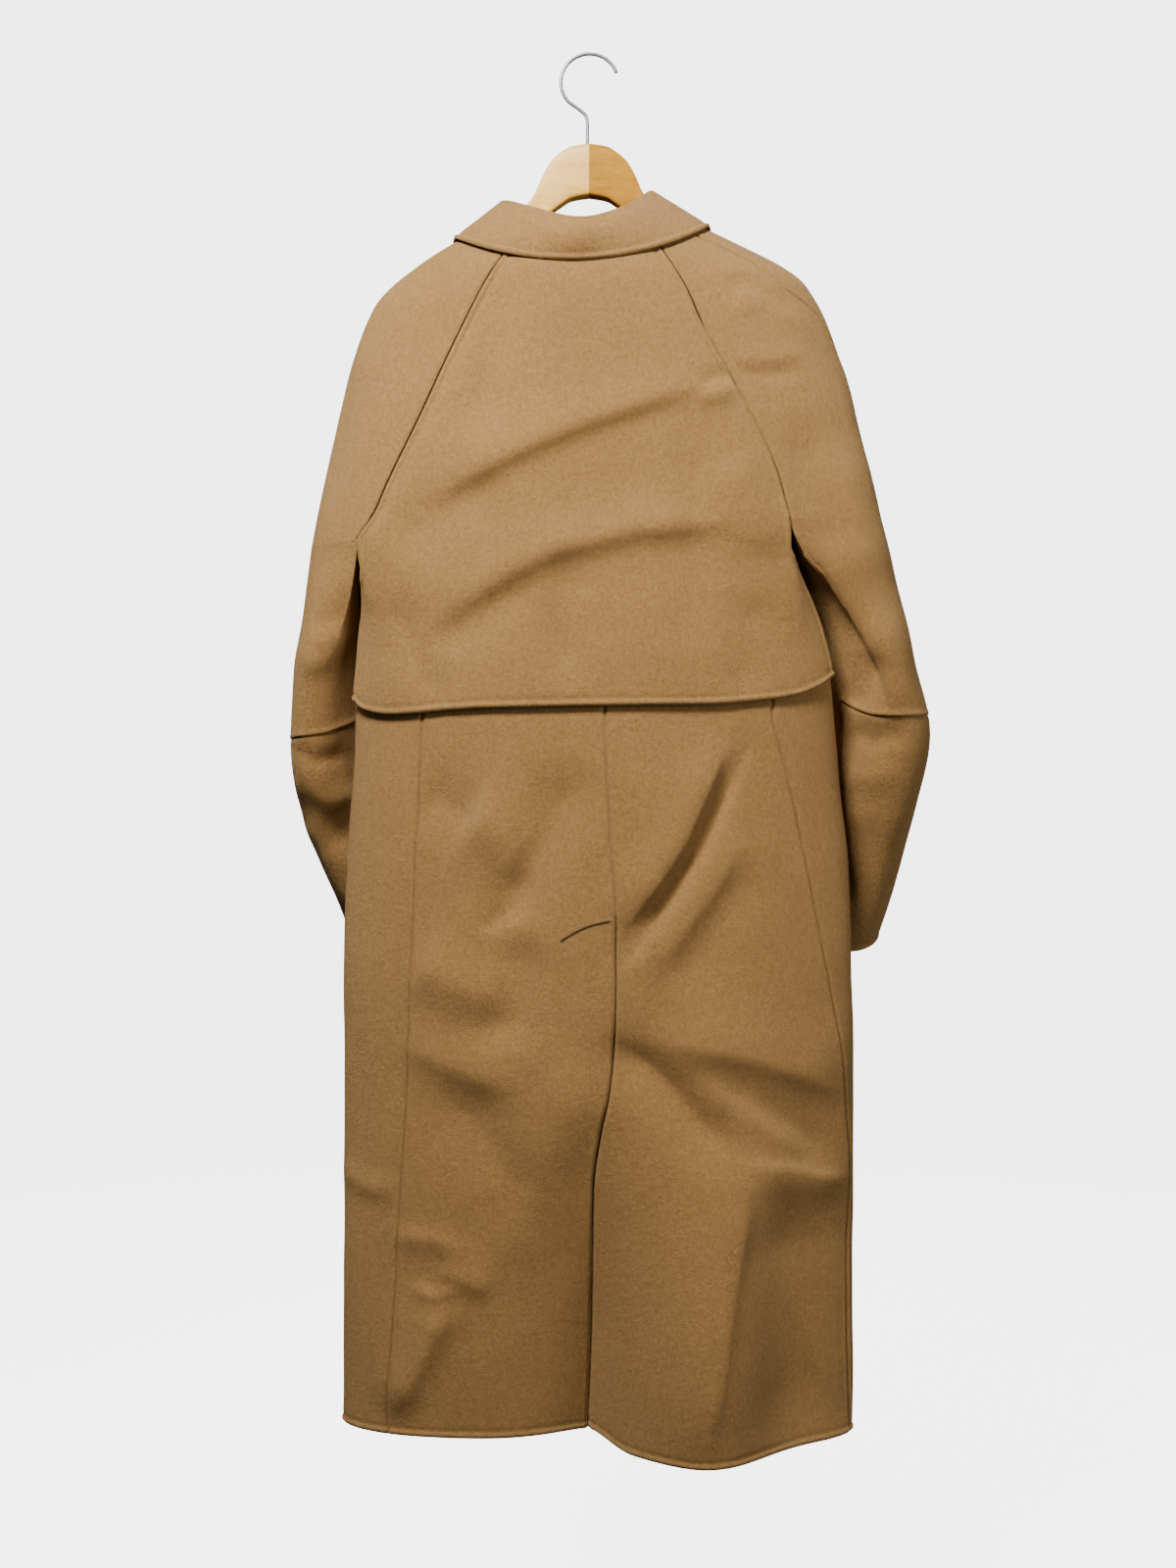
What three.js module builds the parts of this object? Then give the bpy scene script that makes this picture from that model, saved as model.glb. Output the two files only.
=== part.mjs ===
// A long camel overcoat of double-faced wool, seen from the back, on a wooden hanger.
// The coat has raglan sleeves, a loose back cape, a turned-down collar and a back vent.
// Millimetres, +Z up, -Y is the coat's back, +X is the wearer's right.
// The origin is the inner top of the hook, where the hanger hangs on its rail.
import * as THREE from 'three';
import { mergeVertices } from 'three/addons/utils/BufferGeometryUtils.js';

// Cloth, seams and laps
const CLOTH = 2.0;
const SEAM_GAP = 0.3;
const LAY_GAP = 0.8;
const LAYER = CLOTH + LAY_GAP;
const LAP_STEP = 3.4;
const VENT_LAP = 50;
const VENT_LAYER = LAYER + 1.4;
const FRONT_LAP = 90;
const FRONT_LAYER = LAYER + 1;
const FRONT_EDGE_X = 34;
const CAPE_STANDOFF = 3.4;

// Levels of the coat, measured down from the hook
const NECK_LEVEL = -159;
const ARMPIT_LEVEL = -467;
const CAPE_LEVEL = -634;
const VENT_LEVEL = -834;
const HEM_LEVEL = -1317;
const CUFF_LEVEL = -865;

// How the rings lie: the right shoulder hangs a little higher than the left one, and the
// rings hang lower at the back and front than at the shoulders
const SHOULDER_TILT = 0.044;
const TILT_END = -640;
const DROP_POWER = 1.6;
const BODY_BLEND = 120;
const SLEEVE_BLEND = 110;
const SLEEVE_FOLD_ANGLE = 125 * Math.PI / 180;

// Rows and columns of the panels
const shoulderLevels = [NECK_LEVEL, -167, -178, -192, -210, -230, -254, -284, -320, -358,
  -396, -432, ARMPIT_LEVEL];
const bodyLevels = [-490, -516, -544, -570, -602, -640, -690, -742, -790, VENT_LEVEL,
  -888, -944, -1002, -1062, -1124, -1186, -1250, HEM_LEVEL];
const sleeveLevels = [-488, -514, -544, -574, -602];
const ELBOW_LEVEL = -640;
const forearmLevels = [-676, -712, -760, -812, CUFF_LEVEL];
const BACK_COLUMNS = 8;
const FRONT_COLUMNS = 6;
const SLEEVE_COLUMNS = 5;
const INNER_COLUMNS = 3;
const COLLAR_SECTIONS = 26;

// Outline of the shoulders and upper sleeves: x at height z
const leftOutline = [
  { z: -163, x: -98 }, { z: -172, x: -113 }, { z: -180.5, x: -127 }, { z: -193, x: -148 },
  { z: -210, x: -172 }, { z: -225, x: -191 }, { z: -241.5, x: -206 }, { z: -262, x: -216 },
  { z: -285, x: -224 }, { z: -340, x: -240 }, { z: -405, x: -254 }, { z: -479, x: -268.5 },
];
const rightOutline = [
  { z: -155, x: 85 }, { z: -164.3, x: 104 }, { z: -175.5, x: 128 }, { z: -191, x: 160 },
  { z: -203.5, x: 184 }, { z: -220, x: 207 }, { z: -234, x: 217 }, { z: -255, x: 228 },
  { z: -283, x: 238 }, { z: -317.5, x: 250 }, { z: -354, x: 259 }, { z: -428, x: 278 },
  { z: -456, x: 284 },
];

// Rings from the neck to the armpit: depth to the back and front, how far the ring
// hangs lower there than at the shoulder, and the power of its superellipse
const shoulderRings = [
  { z: -159, back: 58, front: 58, backDrop: 48, frontDrop: 76, power: 2.0 },
  { z: -190, back: 62, front: 61, backDrop: 38, frontDrop: 64, power: 2.0 },
  { z: -240, back: 64, front: 63, backDrop: 27, frontDrop: 44, power: 2.1 },
  { z: -320, back: 67, front: 65, backDrop: 11, frontDrop: 18, power: 2.3 },
  { z: -400, back: 70, front: 66, backDrop: 3, frontDrop: 5, power: 2.5 },
  { z: -467, back: 73, front: 66, backDrop: 0, frontDrop: 0, power: 2.6 },
];

// Rings of the body from the armpit to the hem
const bodyRings = [
  { z: -467, left: -217.4, right: 185.8, back: 73, front: 66, power: 2.6 },
  { z: -494, left: -218.5, right: 192, back: 75, front: 66, power: 2.6 },
  { z: -518, left: -219.5, right: 204, back: 76, front: 66, power: 2.6 },
  { z: -540, left: -220.5, right: 216, back: 77, front: 66, power: 2.5 },
  { z: -564, left: -222, right: 225, back: 77, front: 66, power: 2.5 },
  { z: -590, left: -223, right: 231, back: 78, front: 66, power: 2.4 },
  { z: -640, left: -225, right: 236.5, back: 78, front: 66, power: 2.3 },
  { z: -700, left: -228, right: 242, back: 78, front: 66, power: 2.2 },
  { z: -785, left: -234, right: 251, back: 78, front: 66, power: 2.1 },
  { z: -863, left: -237, right: 254, back: 78, front: 67, power: 2.1 },
  { z: -1027, left: -237, right: 256, back: 77, front: 68, power: 2.0 },
  { z: -1181, left: -237.5, right: 255.5, back: 75, front: 69, power: 2.0 },
  { z: -1317, left: -239, right: 255.5, back: 73, front: 70, power: 2.0 },
];

// Half angle of the underarm strip at the side, in degrees; it narrows further down, so
// the side seam can reach the side
const sideStrip = [
  { z: -467, angle: 35 }, { z: -640, angle: 35 }, { z: -800, angle: 20 },
  { z: -920, angle: 9 }, { z: -1317, angle: 6 },
];

// Sleeve rings below the armpit: centre measured outward and forward, half width and
// half depth, turn of the section about its axis and lean of the axis, in degrees
const leftSleeve = [
  { z: -478, out: 243.9, front: 0, halfWidth: 24.9, halfDepth: 64, turn: 0, lean: 0 },
  { z: -510, out: 248.6, front: 4, halfWidth: 24.6, halfDepth: 65, turn: 3, lean: 3 },
  { z: -543, out: 252.2, front: 12, halfWidth: 25.2, halfDepth: 66, turn: 7, lean: 6 },
  { z: -590, out: 254.4, front: 24, halfWidth: 28, halfDepth: 65, turn: 14, lean: 10 },
  { z: -662, out: 255.6, front: 38, halfWidth: 31, halfDepth: 63, turn: 18, lean: 17 },
  { z: -732, out: 249.5, front: 66, halfWidth: 33, halfDepth: 60, turn: 14, lean: 23 },
  { z: -772, out: 237, front: 86, halfWidth: 34, halfDepth: 58, turn: 10, lean: 24 },
  { z: -810, out: 223.5, front: 101, halfWidth: 34, halfDepth: 57, turn: 6, lean: 23 },
  { z: -841, out: 216, front: 114, halfWidth: 34, halfDepth: 56, turn: 4, lean: 22 },
  { z: -882, out: 211, front: 129, halfWidth: 34, halfDepth: 55, turn: 2, lean: 22 },
];
const rightSleeve = [
  { z: -456, out: 235.5, front: 0, halfWidth: 48.5, halfDepth: 62, turn: 0, lean: 0 },
  { z: -520, out: 254.5, front: 12, halfWidth: 46, halfDepth: 62, turn: 14, lean: 6 },
  { z: -580, out: 274.5, front: 22, halfWidth: 41, halfDepth: 64, turn: 10, lean: 10 },
  { z: -655, out: 287.5, front: 34, halfWidth: 44, halfDepth: 62, turn: 18, lean: 16 },
  { z: -715, out: 280, front: 50, halfWidth: 42, halfDepth: 60, turn: 18, lean: 21 },
  { z: -763, out: 273.5, front: 70, halfWidth: 41, halfDepth: 58, turn: 15, lean: 22 },
  { z: -819, out: 263, front: 92, halfWidth: 40, halfDepth: 56, turn: 12, lean: 22 },
  { z: -858, out: 254.5, front: 107, halfWidth: 39, halfDepth: 55, turn: 10, lean: 22 },
];

// Raglan seams on the back and on the front: x at height z
const leftBackRaglan = [
  { z: -190, x: -70 }, { z: -236, x: -100 }, { z: -277, x: -120 }, { z: -353, x: -155 },
  { z: -426, x: -190.5 }, { z: -452, x: -202 }, { z: -478, x: -219 },
];
const rightBackRaglan = [
  { z: -182, x: 56 }, { z: -236, x: 89 }, { z: -273, x: 105 }, { z: -355, x: 149 },
  { z: -413, x: 176 }, { z: -457, x: 187 },
];
const leftFrontRaglan = [
  { z: -200, x: -66 }, { z: -290, x: -118 }, { z: -390, x: -175 }, { z: -478, x: -219 },
];
const rightFrontRaglan = [
  { z: -195, x: 52 }, { z: -290, x: 110 }, { z: -385, x: 160 }, { z: -457, x: 187 },
];

// Seams of the back below the armpit: x at height z
const leftSideSeam = [
  { z: -478, x: -208 }, { z: -560, x: -178 }, { z: -642, x: -156.5 }, { z: -781, x: -163 },
  { z: -991, x: -171 }, { z: -1124, x: -180 }, { z: -1330, x: -192 },
];
const rightSideSeam = [
  { z: -457, x: 187 }, { z: -540, x: 174 }, { z: -628, x: 171 }, { z: -711, x: 190 },
  { z: -803, x: 210 }, { z: -919, x: 233 }, { z: -1014, x: 246 }, { z: -1069, x: 251 },
  { z: -1330, x: 253 },
];
const frontEdge = [{ z: -180, x: FRONT_EDGE_X }, { z: -1330, x: FRONT_EDGE_X }];
const centreBack = [
  { z: -200, x: -6 }, { z: -636, x: 14 }, { z: -753, x: 20 }, { z: -834, x: 24.5 },
  { z: -911, x: 23.9 }, { z: -962, x: 22.3 }, { z: -999, x: 17.6 }, { z: -1027, x: 11.2 },
  { z: -1087, x: 3.1 }, { z: -1217, x: 1.2 }, { z: -1330, x: -3 },
];

// Lower edge of the cape: height over x, with its round corners
const capeHem = [
  { x: -232, z: -600 }, { x: -222, z: -624 }, { x: -208, z: -637 }, { x: -185, z: -641 },
  { x: -97, z: -636 }, { x: 40, z: -633.5 }, { x: 124, z: -632 }, { x: 166, z: -628 },
  { x: 193, z: -623 }, { x: 213, z: -615 }, { x: 228, z: -604 }, { x: 240, z: -588 },
];
// Reach of the cape round the side, as a share of the underarm strip
const capeSide = [
  { z: -467, reach: 0 }, { z: -492, reach: 0 }, { z: -520, reach: 0.14 },
  { z: -560, reach: 0.28 }, { z: -640, reach: 0.34 },
];

// Collar: line of its roll and of its lower edge, from the left front round the back
const collarRoll = [
  { turn: -1, x: -14, y: 64, z: -216 }, { turn: -0.75, x: -66, y: 40, z: -178 },
  { turn: -0.5, x: -84, y: 0, z: -143 }, { turn: -0.25, x: -59, y: -42, z: -159.5 },
  { turn: 0, x: -8, y: -60, z: -176 }, { turn: 0.25, x: 40, y: -38, z: -156 },
  { turn: 0.5, x: 61, y: 0, z: -132.5 }, { turn: 0.75, x: 52, y: 38, z: -168 },
  { turn: 1, x: 8, y: 64, z: -216 },
];
// The lower edge lies on the shoulders: its level there and how far it stands off
const collarEdge = [
  { turn: -1, level: -226, lift: 5 }, { turn: -0.75, level: -196, lift: 4.5 },
  { turn: -0.5, level: -176, lift: 4 }, { turn: 0, level: -175, lift: 6.5 },
  { turn: 0.5, level: -175, lift: 4 }, { turn: 0.75, level: -196, lift: 4.5 },
  { turn: 1, level: -226, lift: 5 },
];
const COLLAR_ROLL_RADIUS = 3.4;
const COLLAR_SWELL = { height: 3, reach: 0.45 };
const COLLAR_FRONT_STOP = 0.965;
const COLLAR_FOOT = 1.4;
const NECK_CENTRE_X = -6.5;

// Folds of the back, drawn from start to end: positive depth stands out, negative sinks
const backFolds = [
  { x0: 126, z0: -328, x1: 54, z1: -351, width: 15, depth: -4 },
  { x0: 54, z0: -351, x1: -101, z1: -414, width: 17, depth: -5 },
  { x0: -99, z0: -415, x1: -197, z1: -451, width: 20, depth: -4 },
  { x0: 172, z0: -474, x1: 0, z1: -484, width: 18, depth: -3.5 },
  { x0: 0, z0: -484, x1: -119, z1: -546, width: 20, depth: -4.5 },
  { x0: -119, z0: -546, x1: -174, z1: -578, width: 20, depth: -3.5 },
  { x0: -98, z0: -250, x1: -98, z1: -390, width: 14, depth: -4 },
  { x0: 142, z0: -683, x1: 104, z1: -761, width: 15, depth: -6 },
  { x0: 104, z0: -761, x1: 31, z1: -879, width: 16, depth: -6 },
  { x0: 154, z0: -770, x1: 90, z1: -852, width: 20, depth: -4 },
  { x0: 104, z0: -980, x1: 232, z1: -1072, width: 18, depth: -6 },
  { x0: 104, z0: -979, x1: 236, z1: -975, width: 16, depth: -4 },
  { x0: 143, z0: -1061, x1: 126, z1: -1162, width: 16, depth: -5 },
  { x0: 126, z0: -1162, x1: 95, z1: -1330, width: 18, depth: -6 },
  { x0: -10, z0: -752, x1: -92, z1: -843, width: 24, depth: -4 },
  { x0: -165, z0: -1007, x1: -74, z1: -988, width: 22, depth: -4 },
];
// Soft flutes that open toward the hem, on the back and on the hidden front
const backFlutes = [
  { x: 108, top: -880, width: 62, depth: 40 },
  { x: -120, top: -960, width: 70, depth: -4 },
];
const frontFlutes = [
  { x: 120, top: -760, width: 48, depth: 12 },
  { x: -60, top: -820, width: 52, depth: -10 },
  { x: -150, top: -900, width: 44, depth: 12 },
];
const HEM_DROP = { top: -1150, left: 4, right: 13, stepWidth: 40 };
const VENT_VALLEY = { top: -900, depth: 48, leftWidth: 62, rightWidth: 34, power: 1.35 };
const FOLD_END_REACH = 1.4;
// Folds of the back and front fade where the ring turns to the side
const SIDE_FADE = 1.6;

// Height of the elbow seam on the back of each sleeve, and the place of the inner seam as
// a share of the way round
const elbowSeam = {
  left: { outer: -664, inner: -644, sag: 5 },
  right: { outer: -635, inner: -623, sag: 12 },
};
const INNER_SEAM = -0.45;

// Angle of the overarm seam behind the outline of the arm, in degrees
const overarmSeam = [
  { z: -159, left: 0, right: 28 }, { z: -190, left: 0, right: 27 },
  { z: -231, left: 0, right: 29 }, { z: -250, left: 0, right: 22 },
  { z: -280, left: 0, right: 10 }, { z: -330, left: 0, right: 0 },
];

// Where the cape springs off the back and where the rows of its hem begin
const CAPE_SPRING_LEVEL = -490;
const CAPE_HEM_START = -570;
const CAPE_HEM_ROWS = 2;
const CAPE_SINK = { width: 18, height: 30 };

// Hanger: top and bottom of the wooden bar over the distance from its middle
const hangerBar = [
  { out: 0, top: -87, bottom: -137 }, { out: 17, top: -89.3, bottom: -140 },
  { out: 27, top: -94.7, bottom: -146 }, { out: 36.7, top: -103.4, bottom: -153 },
  { out: 44.4, top: -116, bottom: -160 }, { out: 52, top: -133, bottom: -167 },
  { out: 64, top: -149, bottom: -178 }, { out: 100, top: -171, bottom: -200 },
  { out: 127, top: -185.5, bottom: -213 }, { out: 148, top: -199, bottom: -225 },
  { out: 171, top: -216.5, bottom: -239 }, { out: 189, top: -232.5, bottom: -252 },
  { out: 197, top: -242, bottom: -256 },
];
const HANGER_HALF_DEPTH = 10;
const BAR_SIDES = 12;
const BAR_ROUNDING = 0.75;
const extraStations = [78, 114];
const HOOK_WIRE = 3.4;
const HOOK_RADIUS = 27.7;
const HOOK_CENTRE = { x: 0.5, z: HOOK_WIRE / 2 - HOOK_RADIUS };
const HOOK_TIP_ANGLE = 20 * Math.PI / 180;
const HOOK_END_ANGLE = 222 * Math.PI / 180;
const HOOK_STEPS = 60;
const WIRE_SIDES = 10;
const stemPoints = [{ x: -6.5, z: -54.5 }, { x: -2.4, z: -59.5 }, { x: -1.5, z: -67 },
  { x: -1.5, z: hangerBar[0].top + SEAM_GAP }];

const WOOL_COLOUR = 0xb48c5f;
const WOOL_CAPE_COLOUR = 0xbc9566;
const WOOD_COLOUR = 0xe8bf90;
const HOOK_COLOUR = 0xc9cccf;

const wool = (colour) => new THREE.MeshStandardMaterial({
  color: colour, roughness: 0.92, metalness: 0,
});

// Tables and curves

const clamp = (value, low, high) => Math.min(high, Math.max(low, value));
const mix = (a, b, t) => a + (b - a) * t;
const smooth = (t) => {
  const c = clamp(t, 0, 1);
  return c * c * (3 - 2 * c);
};

// Value of one column of a table at a key: a monotone cubic through the rows
function column(table, key, name, at) {
  const rising = table[table.length - 1][key] > table[0][key];
  const rows = rising ? table : [...table].reverse();
  const last = rows.length - 1;
  if (at <= rows[0][key]) return rows[0][name];
  if (at >= rows[last][key]) return rows[last][name];
  let i = 0;
  while (rows[i + 1][key] < at) i += 1;
  const step = (k) => rows[k + 1][key] - rows[k][key];
  const slope = (k) => (rows[k + 1][name] - rows[k][name]) / step(k);
  const tangent = (k) => {
    if (k === 0) return slope(0);
    if (k === last) return slope(last - 1);
    const before = slope(k - 1);
    const after = slope(k);
    if (before * after <= 0) return 0;
    const w0 = 2 * step(k) + step(k - 1);
    const w1 = step(k) + 2 * step(k - 1);
    return (w0 + w1) / (w0 / before + w1 / after);
  };
  const h = step(i);
  const t = (at - rows[i][key]) / h;
  const a = rows[i][name];
  const b = rows[i + 1][name];
  return a * (1 + 2 * t) * (1 - t) ** 2 + h * tangent(i) * t * (1 - t) ** 2
    + b * t * t * (3 - 2 * t) + h * tangent(i + 1) * t * t * (t - 1);
}

// The parameter between low and high where a rising or falling measure is zero
function solve(measure, low, high) {
  const rising = measure(high) > measure(low);
  let a = low;
  let b = high;
  for (let i = 0; i < 40; i += 1) {
    const middle = (a + b) / 2;
    if ((measure(middle) > 0) === rising) b = middle;
    else a = middle;
  }
  return (a + b) / 2;
}

// Rings of the coat

const tiltAt = (level) => SHOULDER_TILT
  * (1 - smooth((ARMPIT_LEVEL - level) / (ARMPIT_LEVEL - TILT_END)));

// Where a tilted level meets the outline
function outlineX(outline, level, tilt) {
  let x = outline[0].x;
  for (let i = 0; i < 6; i += 1) x = column(outline, 'z', 'x', level + tilt * x);
  return x;
}

// One point of the wide ring that holds back, sleeve heads and front; angle 0 is the
// right shoulder and -90 degrees the centre back
function shoulderPoint(level, angle) {
  const tilt = tiltAt(level);
  const left = outlineX(leftOutline, level, tilt);
  const right = outlineX(rightOutline, level, tilt);
  const power = 2 / column(shoulderRings, 'z', 'power', level);
  const c = Math.cos(angle);
  const s = Math.sin(angle);
  const side = s < 0 ? 'back' : 'front';
  const depth = column(shoulderRings, 'z', side, level);
  const drop = column(shoulderRings, 'z', `${side}Drop`, level);
  const x = (left + right) / 2 + (right - left) / 2 * Math.sign(c) * Math.abs(c) ** power;
  const y = depth * Math.sign(s) * Math.abs(s) ** power;
  return new THREE.Vector3(x, y, level + tilt * x - drop * Math.abs(s) ** DROP_POWER);
}

// Angles where the four raglan seams cross the wide ring of a level
const raglanCache = new Map();
function raglanAngles(level) {
  if (!raglanCache.has(level)) {
    const cross = (seam, from, to) => solve((angle) => {
      const p = shoulderPoint(level, angle);
      return p.x - column(seam, 'z', 'x', p.z);
    }, from, to);
    raglanCache.set(level, {
      backLeft: cross(leftBackRaglan, -Math.PI, -Math.PI / 2),
      backRight: cross(rightBackRaglan, -Math.PI / 2, 0),
      frontRight: cross(rightFrontRaglan, 0, Math.PI / 2),
      frontLeft: cross(leftFrontRaglan, Math.PI / 2, Math.PI),
    });
  }
  return raglanCache.get(level);
}

// The way round a ring is counted in quarters: 0 to 1 the back from left to right,
// 1 to 2 the right side, 2 to 3 the front, 3 to 4 (or -1 to 0) the left side
const WHOLE_RING = 4;
const inRing = (quarter) => (quarter < 0 ? quarter + WHOLE_RING : quarter);
function quarterAngle(quarter, marks) {
  const q = inRing(quarter);
  const corners = [marks.backLeft, marks.backRight, marks.frontRight, marks.frontLeft,
    marks.backLeft + 2 * Math.PI];
  const i = Math.min(WHOLE_RING - 1, Math.floor(q));
  return mix(corners[i], corners[i + 1], q - i);
}

function bodyMarks(level) {
  const angle = THREE.MathUtils.degToRad(column(sideStrip, 'z', 'angle', level));
  return { backLeft: angle - Math.PI, backRight: -angle, frontRight: angle,
    frontLeft: Math.PI - angle };
}

// The hem hangs lower right of the vent than left of it
function hemDrop(x, level) {
  const grow = smooth((HEM_DROP.top - level) / (HEM_DROP.top - HEM_LEVEL));
  return grow * mix(HEM_DROP.left, HEM_DROP.right, smooth(x / HEM_DROP.stepWidth));
}

// One point of the coat's body, before its folds
function bodyBase(quarter, level) {
  if (level >= ARMPIT_LEVEL) {
    return shoulderPoint(level, quarterAngle(quarter, raglanAngles(level)));
  }
  const row = (name) => column(bodyRings, 'z', name, level);
  const left = row('left');
  const right = row('right');
  const q = inRing(quarter);
  const marks = raglanAngles(ARMPIT_LEVEL);
  const corner = (k) => shoulderPoint(ARMPIT_LEVEL, quarterAngle(k, marks));
  const cut = q > 1 && q < 2 ? corner(1).lerp(corner(2), q - 1)
    : q > 3 ? corner(3).lerp(corner(4), q - 3) : corner(q);
  const share = (cut.x - corner(0).x) / (corner(1).x - corner(0).x);
  const angle = quarterAngle(quarter, bodyMarks(level));
  const power = 2 / row('power');
  const c = Math.cos(angle);
  const s = Math.sin(angle);
  const round = smooth((ARMPIT_LEVEL - level) / BODY_BLEND);
  const x = mix(mix(left, right, share),
    (left + right) / 2 + (right - left) / 2 * Math.sign(c) * Math.abs(c) ** power, round);
  const depth = row(s < 0 ? 'back' : 'front');
  const y = mix(cut.y, depth * Math.sign(s) * Math.abs(s) ** power, round);
  return new THREE.Vector3(x, y, level + tiltAt(level) * x - hemDrop(x, level));
}

// One point of a sleeve, before its folds. The way round is 0 at the back raglan seam,
// 1 at the front one over the outside, and 1 to 2 (or -1 to 0) along the inside
function sleeveBase(side, around, level) {
  const mirror = side === 'right' ? 1 : -1;
  const quarter = side === 'right' ? 1 + around : WHOLE_RING - around;
  if (level >= ARMPIT_LEVEL) return bodyBase(quarter, level);
  const table = side === 'right' ? rightSleeve : leftSleeve;
  const z = level - ARMPIT_LEVEL + table[0].z;
  const row = (name) => column(table, 'z', name, z);
  const marks = raglanAngles(ARMPIT_LEVEL);
  const onRing = (a) => shoulderPoint(ARMPIT_LEVEL,
    quarterAngle(side === 'right' ? 1 + a : WHOLE_RING - a, marks));
  const a = around < 0 ? around + 2 : around;
  const head = a <= 1 ? onRing(a) : onRing(1).lerp(onRing(0), a - 1);
  const first = table[0];
  const share = (head.x * mirror - first.out) / first.halfWidth;
  const angle = a <= 1 ? mix(-SLEEVE_FOLD_ANGLE, SLEEVE_FOLD_ANGLE, a)
    : mix(SLEEVE_FOLD_ANGLE, 2 * Math.PI - SLEEVE_FOLD_ANGLE, a - 1);
  const turn = THREE.MathUtils.degToRad(row('turn'));
  const lean = THREE.MathUtils.degToRad(row('lean'));
  const u = row('halfWidth') * Math.cos(angle);
  const v = row('halfDepth') * Math.sin(angle);
  const out = u * Math.cos(turn) - v * Math.sin(turn);
  const ahead = u * Math.sin(turn) + v * Math.cos(turn);
  const round = smooth((ARMPIT_LEVEL - level) / SLEEVE_BLEND);
  const x = mirror * (row('out') + mix(share * row('halfWidth'), out, round));
  const y = row('front') + mix(head.y, ahead * Math.cos(lean), round);
  const dip = tiltAt(ARMPIT_LEVEL) * (x - mirror * first.out) * (1 - round);
  return new THREE.Vector3(x, y, z + dip + ahead * Math.sin(lean) * round);
}

// Folds

function foldDepth(folds, x, z) {
  let sum = 0;
  for (const f of folds) {
    const dx = f.x1 - f.x0;
    const dz = f.z1 - f.z0;
    const length = Math.hypot(dx, dz);
    const along = ((x - f.x0) * dx + (z - f.z0) * dz) / length;
    const beside = ((x - f.x0) * dz - (z - f.z0) * dx) / length;
    const over = Math.max(0, -along, along - length);
    sum += f.depth
      * Math.exp(-((beside / f.width) ** 2) - ((over / (f.width * FOLD_END_REACH)) ** 2));
  }
  return sum;
}

function fluteDepth(flutes, x, z) {
  let sum = 0;
  for (const f of flutes) {
    const grow = smooth((f.top - z) / (f.top - HEM_LEVEL));
    sum += f.depth * grow * Math.exp(-(((x - f.x) / f.width) ** 2));
  }
  return sum;
}

// The two back panels fall inward along the vent
function ventDepth(x, z) {
  const grow = smooth((VENT_VALLEY.top - z) / (VENT_VALLEY.top - HEM_LEVEL));
  const beside = x - column(centreBack, 'z', 'x', z);
  const width = beside < 0 ? VENT_VALLEY.leftWidth : VENT_VALLEY.rightWidth;
  return -VENT_VALLEY.depth * grow * Math.exp(-(Math.abs(beside / width) ** VENT_VALLEY.power));
}

function outward(point, facing) {
  const back = clamp(-facing.y * SIDE_FADE, 0, 1);
  const front = clamp(facing.y * SIDE_FADE, 0, 1);
  const behind = foldDepth(backFolds, point.x, point.z) + fluteDepth(backFlutes, point.x, point.z)
    + ventDepth(point.x, point.z);
  return back * behind + front * fluteDepth(frontFlutes, point.x, point.z);
}

// A surface is a function of the way round and the level. Its folded form moves each
// base point along the flat normal of its ring
const PROBE = 0.004;
function folded(base, sense) {
  return (around, level) => {
    const point = base(around, level);
    const way = base(around + PROBE, level).sub(base(around - PROBE, level));
    const facing = new THREE.Vector3(way.y, -way.x, 0).multiplyScalar(sense).normalize();
    return point.addScaledVector(facing, outward(point, facing));
  };
}

const bodySurface = folded(bodyBase, 1);
const sleeveSurface = {
  left: folded((around, level) => sleeveBase('left', around, level), -1),
  right: folded((around, level) => sleeveBase('right', around, level), 1),
};

// A place of the surface moved out along its normal; sense is 1 where the way round
// runs anticlockwise seen from above
function raised(surface, sense, around, level, offset) {
  const point = surface(around, level);
  const way = surface(around + PROBE, level).sub(surface(around - PROBE, level));
  const above = Math.abs(level - ARMPIT_LEVEL) < 1 ? level : level + 0.5;
  const up = surface(around, above).sub(surface(around, level - 0.5));
  const normal = new THREE.Vector3().crossVectors(way, up).multiplyScalar(sense).normalize();
  return point.addScaledVector(normal, offset);
}

// A closed wall from a grid of outer and inner points. Cells that a panel lacks are
// left out, and the rim of those present is closed
function wall(outer, inner, present) {
  const rows = outer.length;
  const columns = outer[0].length;
  const positions = [];
  const triangles = [];
  const index = (side, i, j) => (side * rows + i) * columns + j;
  for (const grid of [outer, inner]) {
    for (const row of grid) for (const p of row) positions.push(p.x, p.y, p.z);
  }
  const has = (i, j) => i >= 0 && j >= 0 && i < rows - 1 && j < columns - 1 && present(i, j);
  const quad = (a, b, c, d) => triangles.push(a, b, c, a, c, d);
  for (let i = 0; i < rows - 1; i += 1) {
    for (let j = 0; j < columns - 1; j += 1) {
      if (!has(i, j)) continue;
      quad(index(0, i, j), index(0, i + 1, j), index(0, i + 1, j + 1), index(0, i, j + 1));
      quad(index(1, i, j), index(1, i, j + 1), index(1, i + 1, j + 1), index(1, i + 1, j));
      if (!has(i - 1, j)) {
        quad(index(0, i, j), index(0, i, j + 1), index(1, i, j + 1), index(1, i, j));
      }
      if (!has(i + 1, j)) {
        quad(index(0, i + 1, j + 1), index(0, i + 1, j), index(1, i + 1, j), index(1, i + 1, j + 1));
      }
      if (!has(i, j - 1)) {
        quad(index(0, i + 1, j), index(0, i, j), index(1, i, j), index(1, i + 1, j));
      }
      if (!has(i, j + 1)) {
        quad(index(0, i, j + 1), index(0, i + 1, j + 1), index(1, i + 1, j + 1), index(1, i, j + 1));
      }
    }
  }
  return facingOut(positions, triangles);
}

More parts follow.
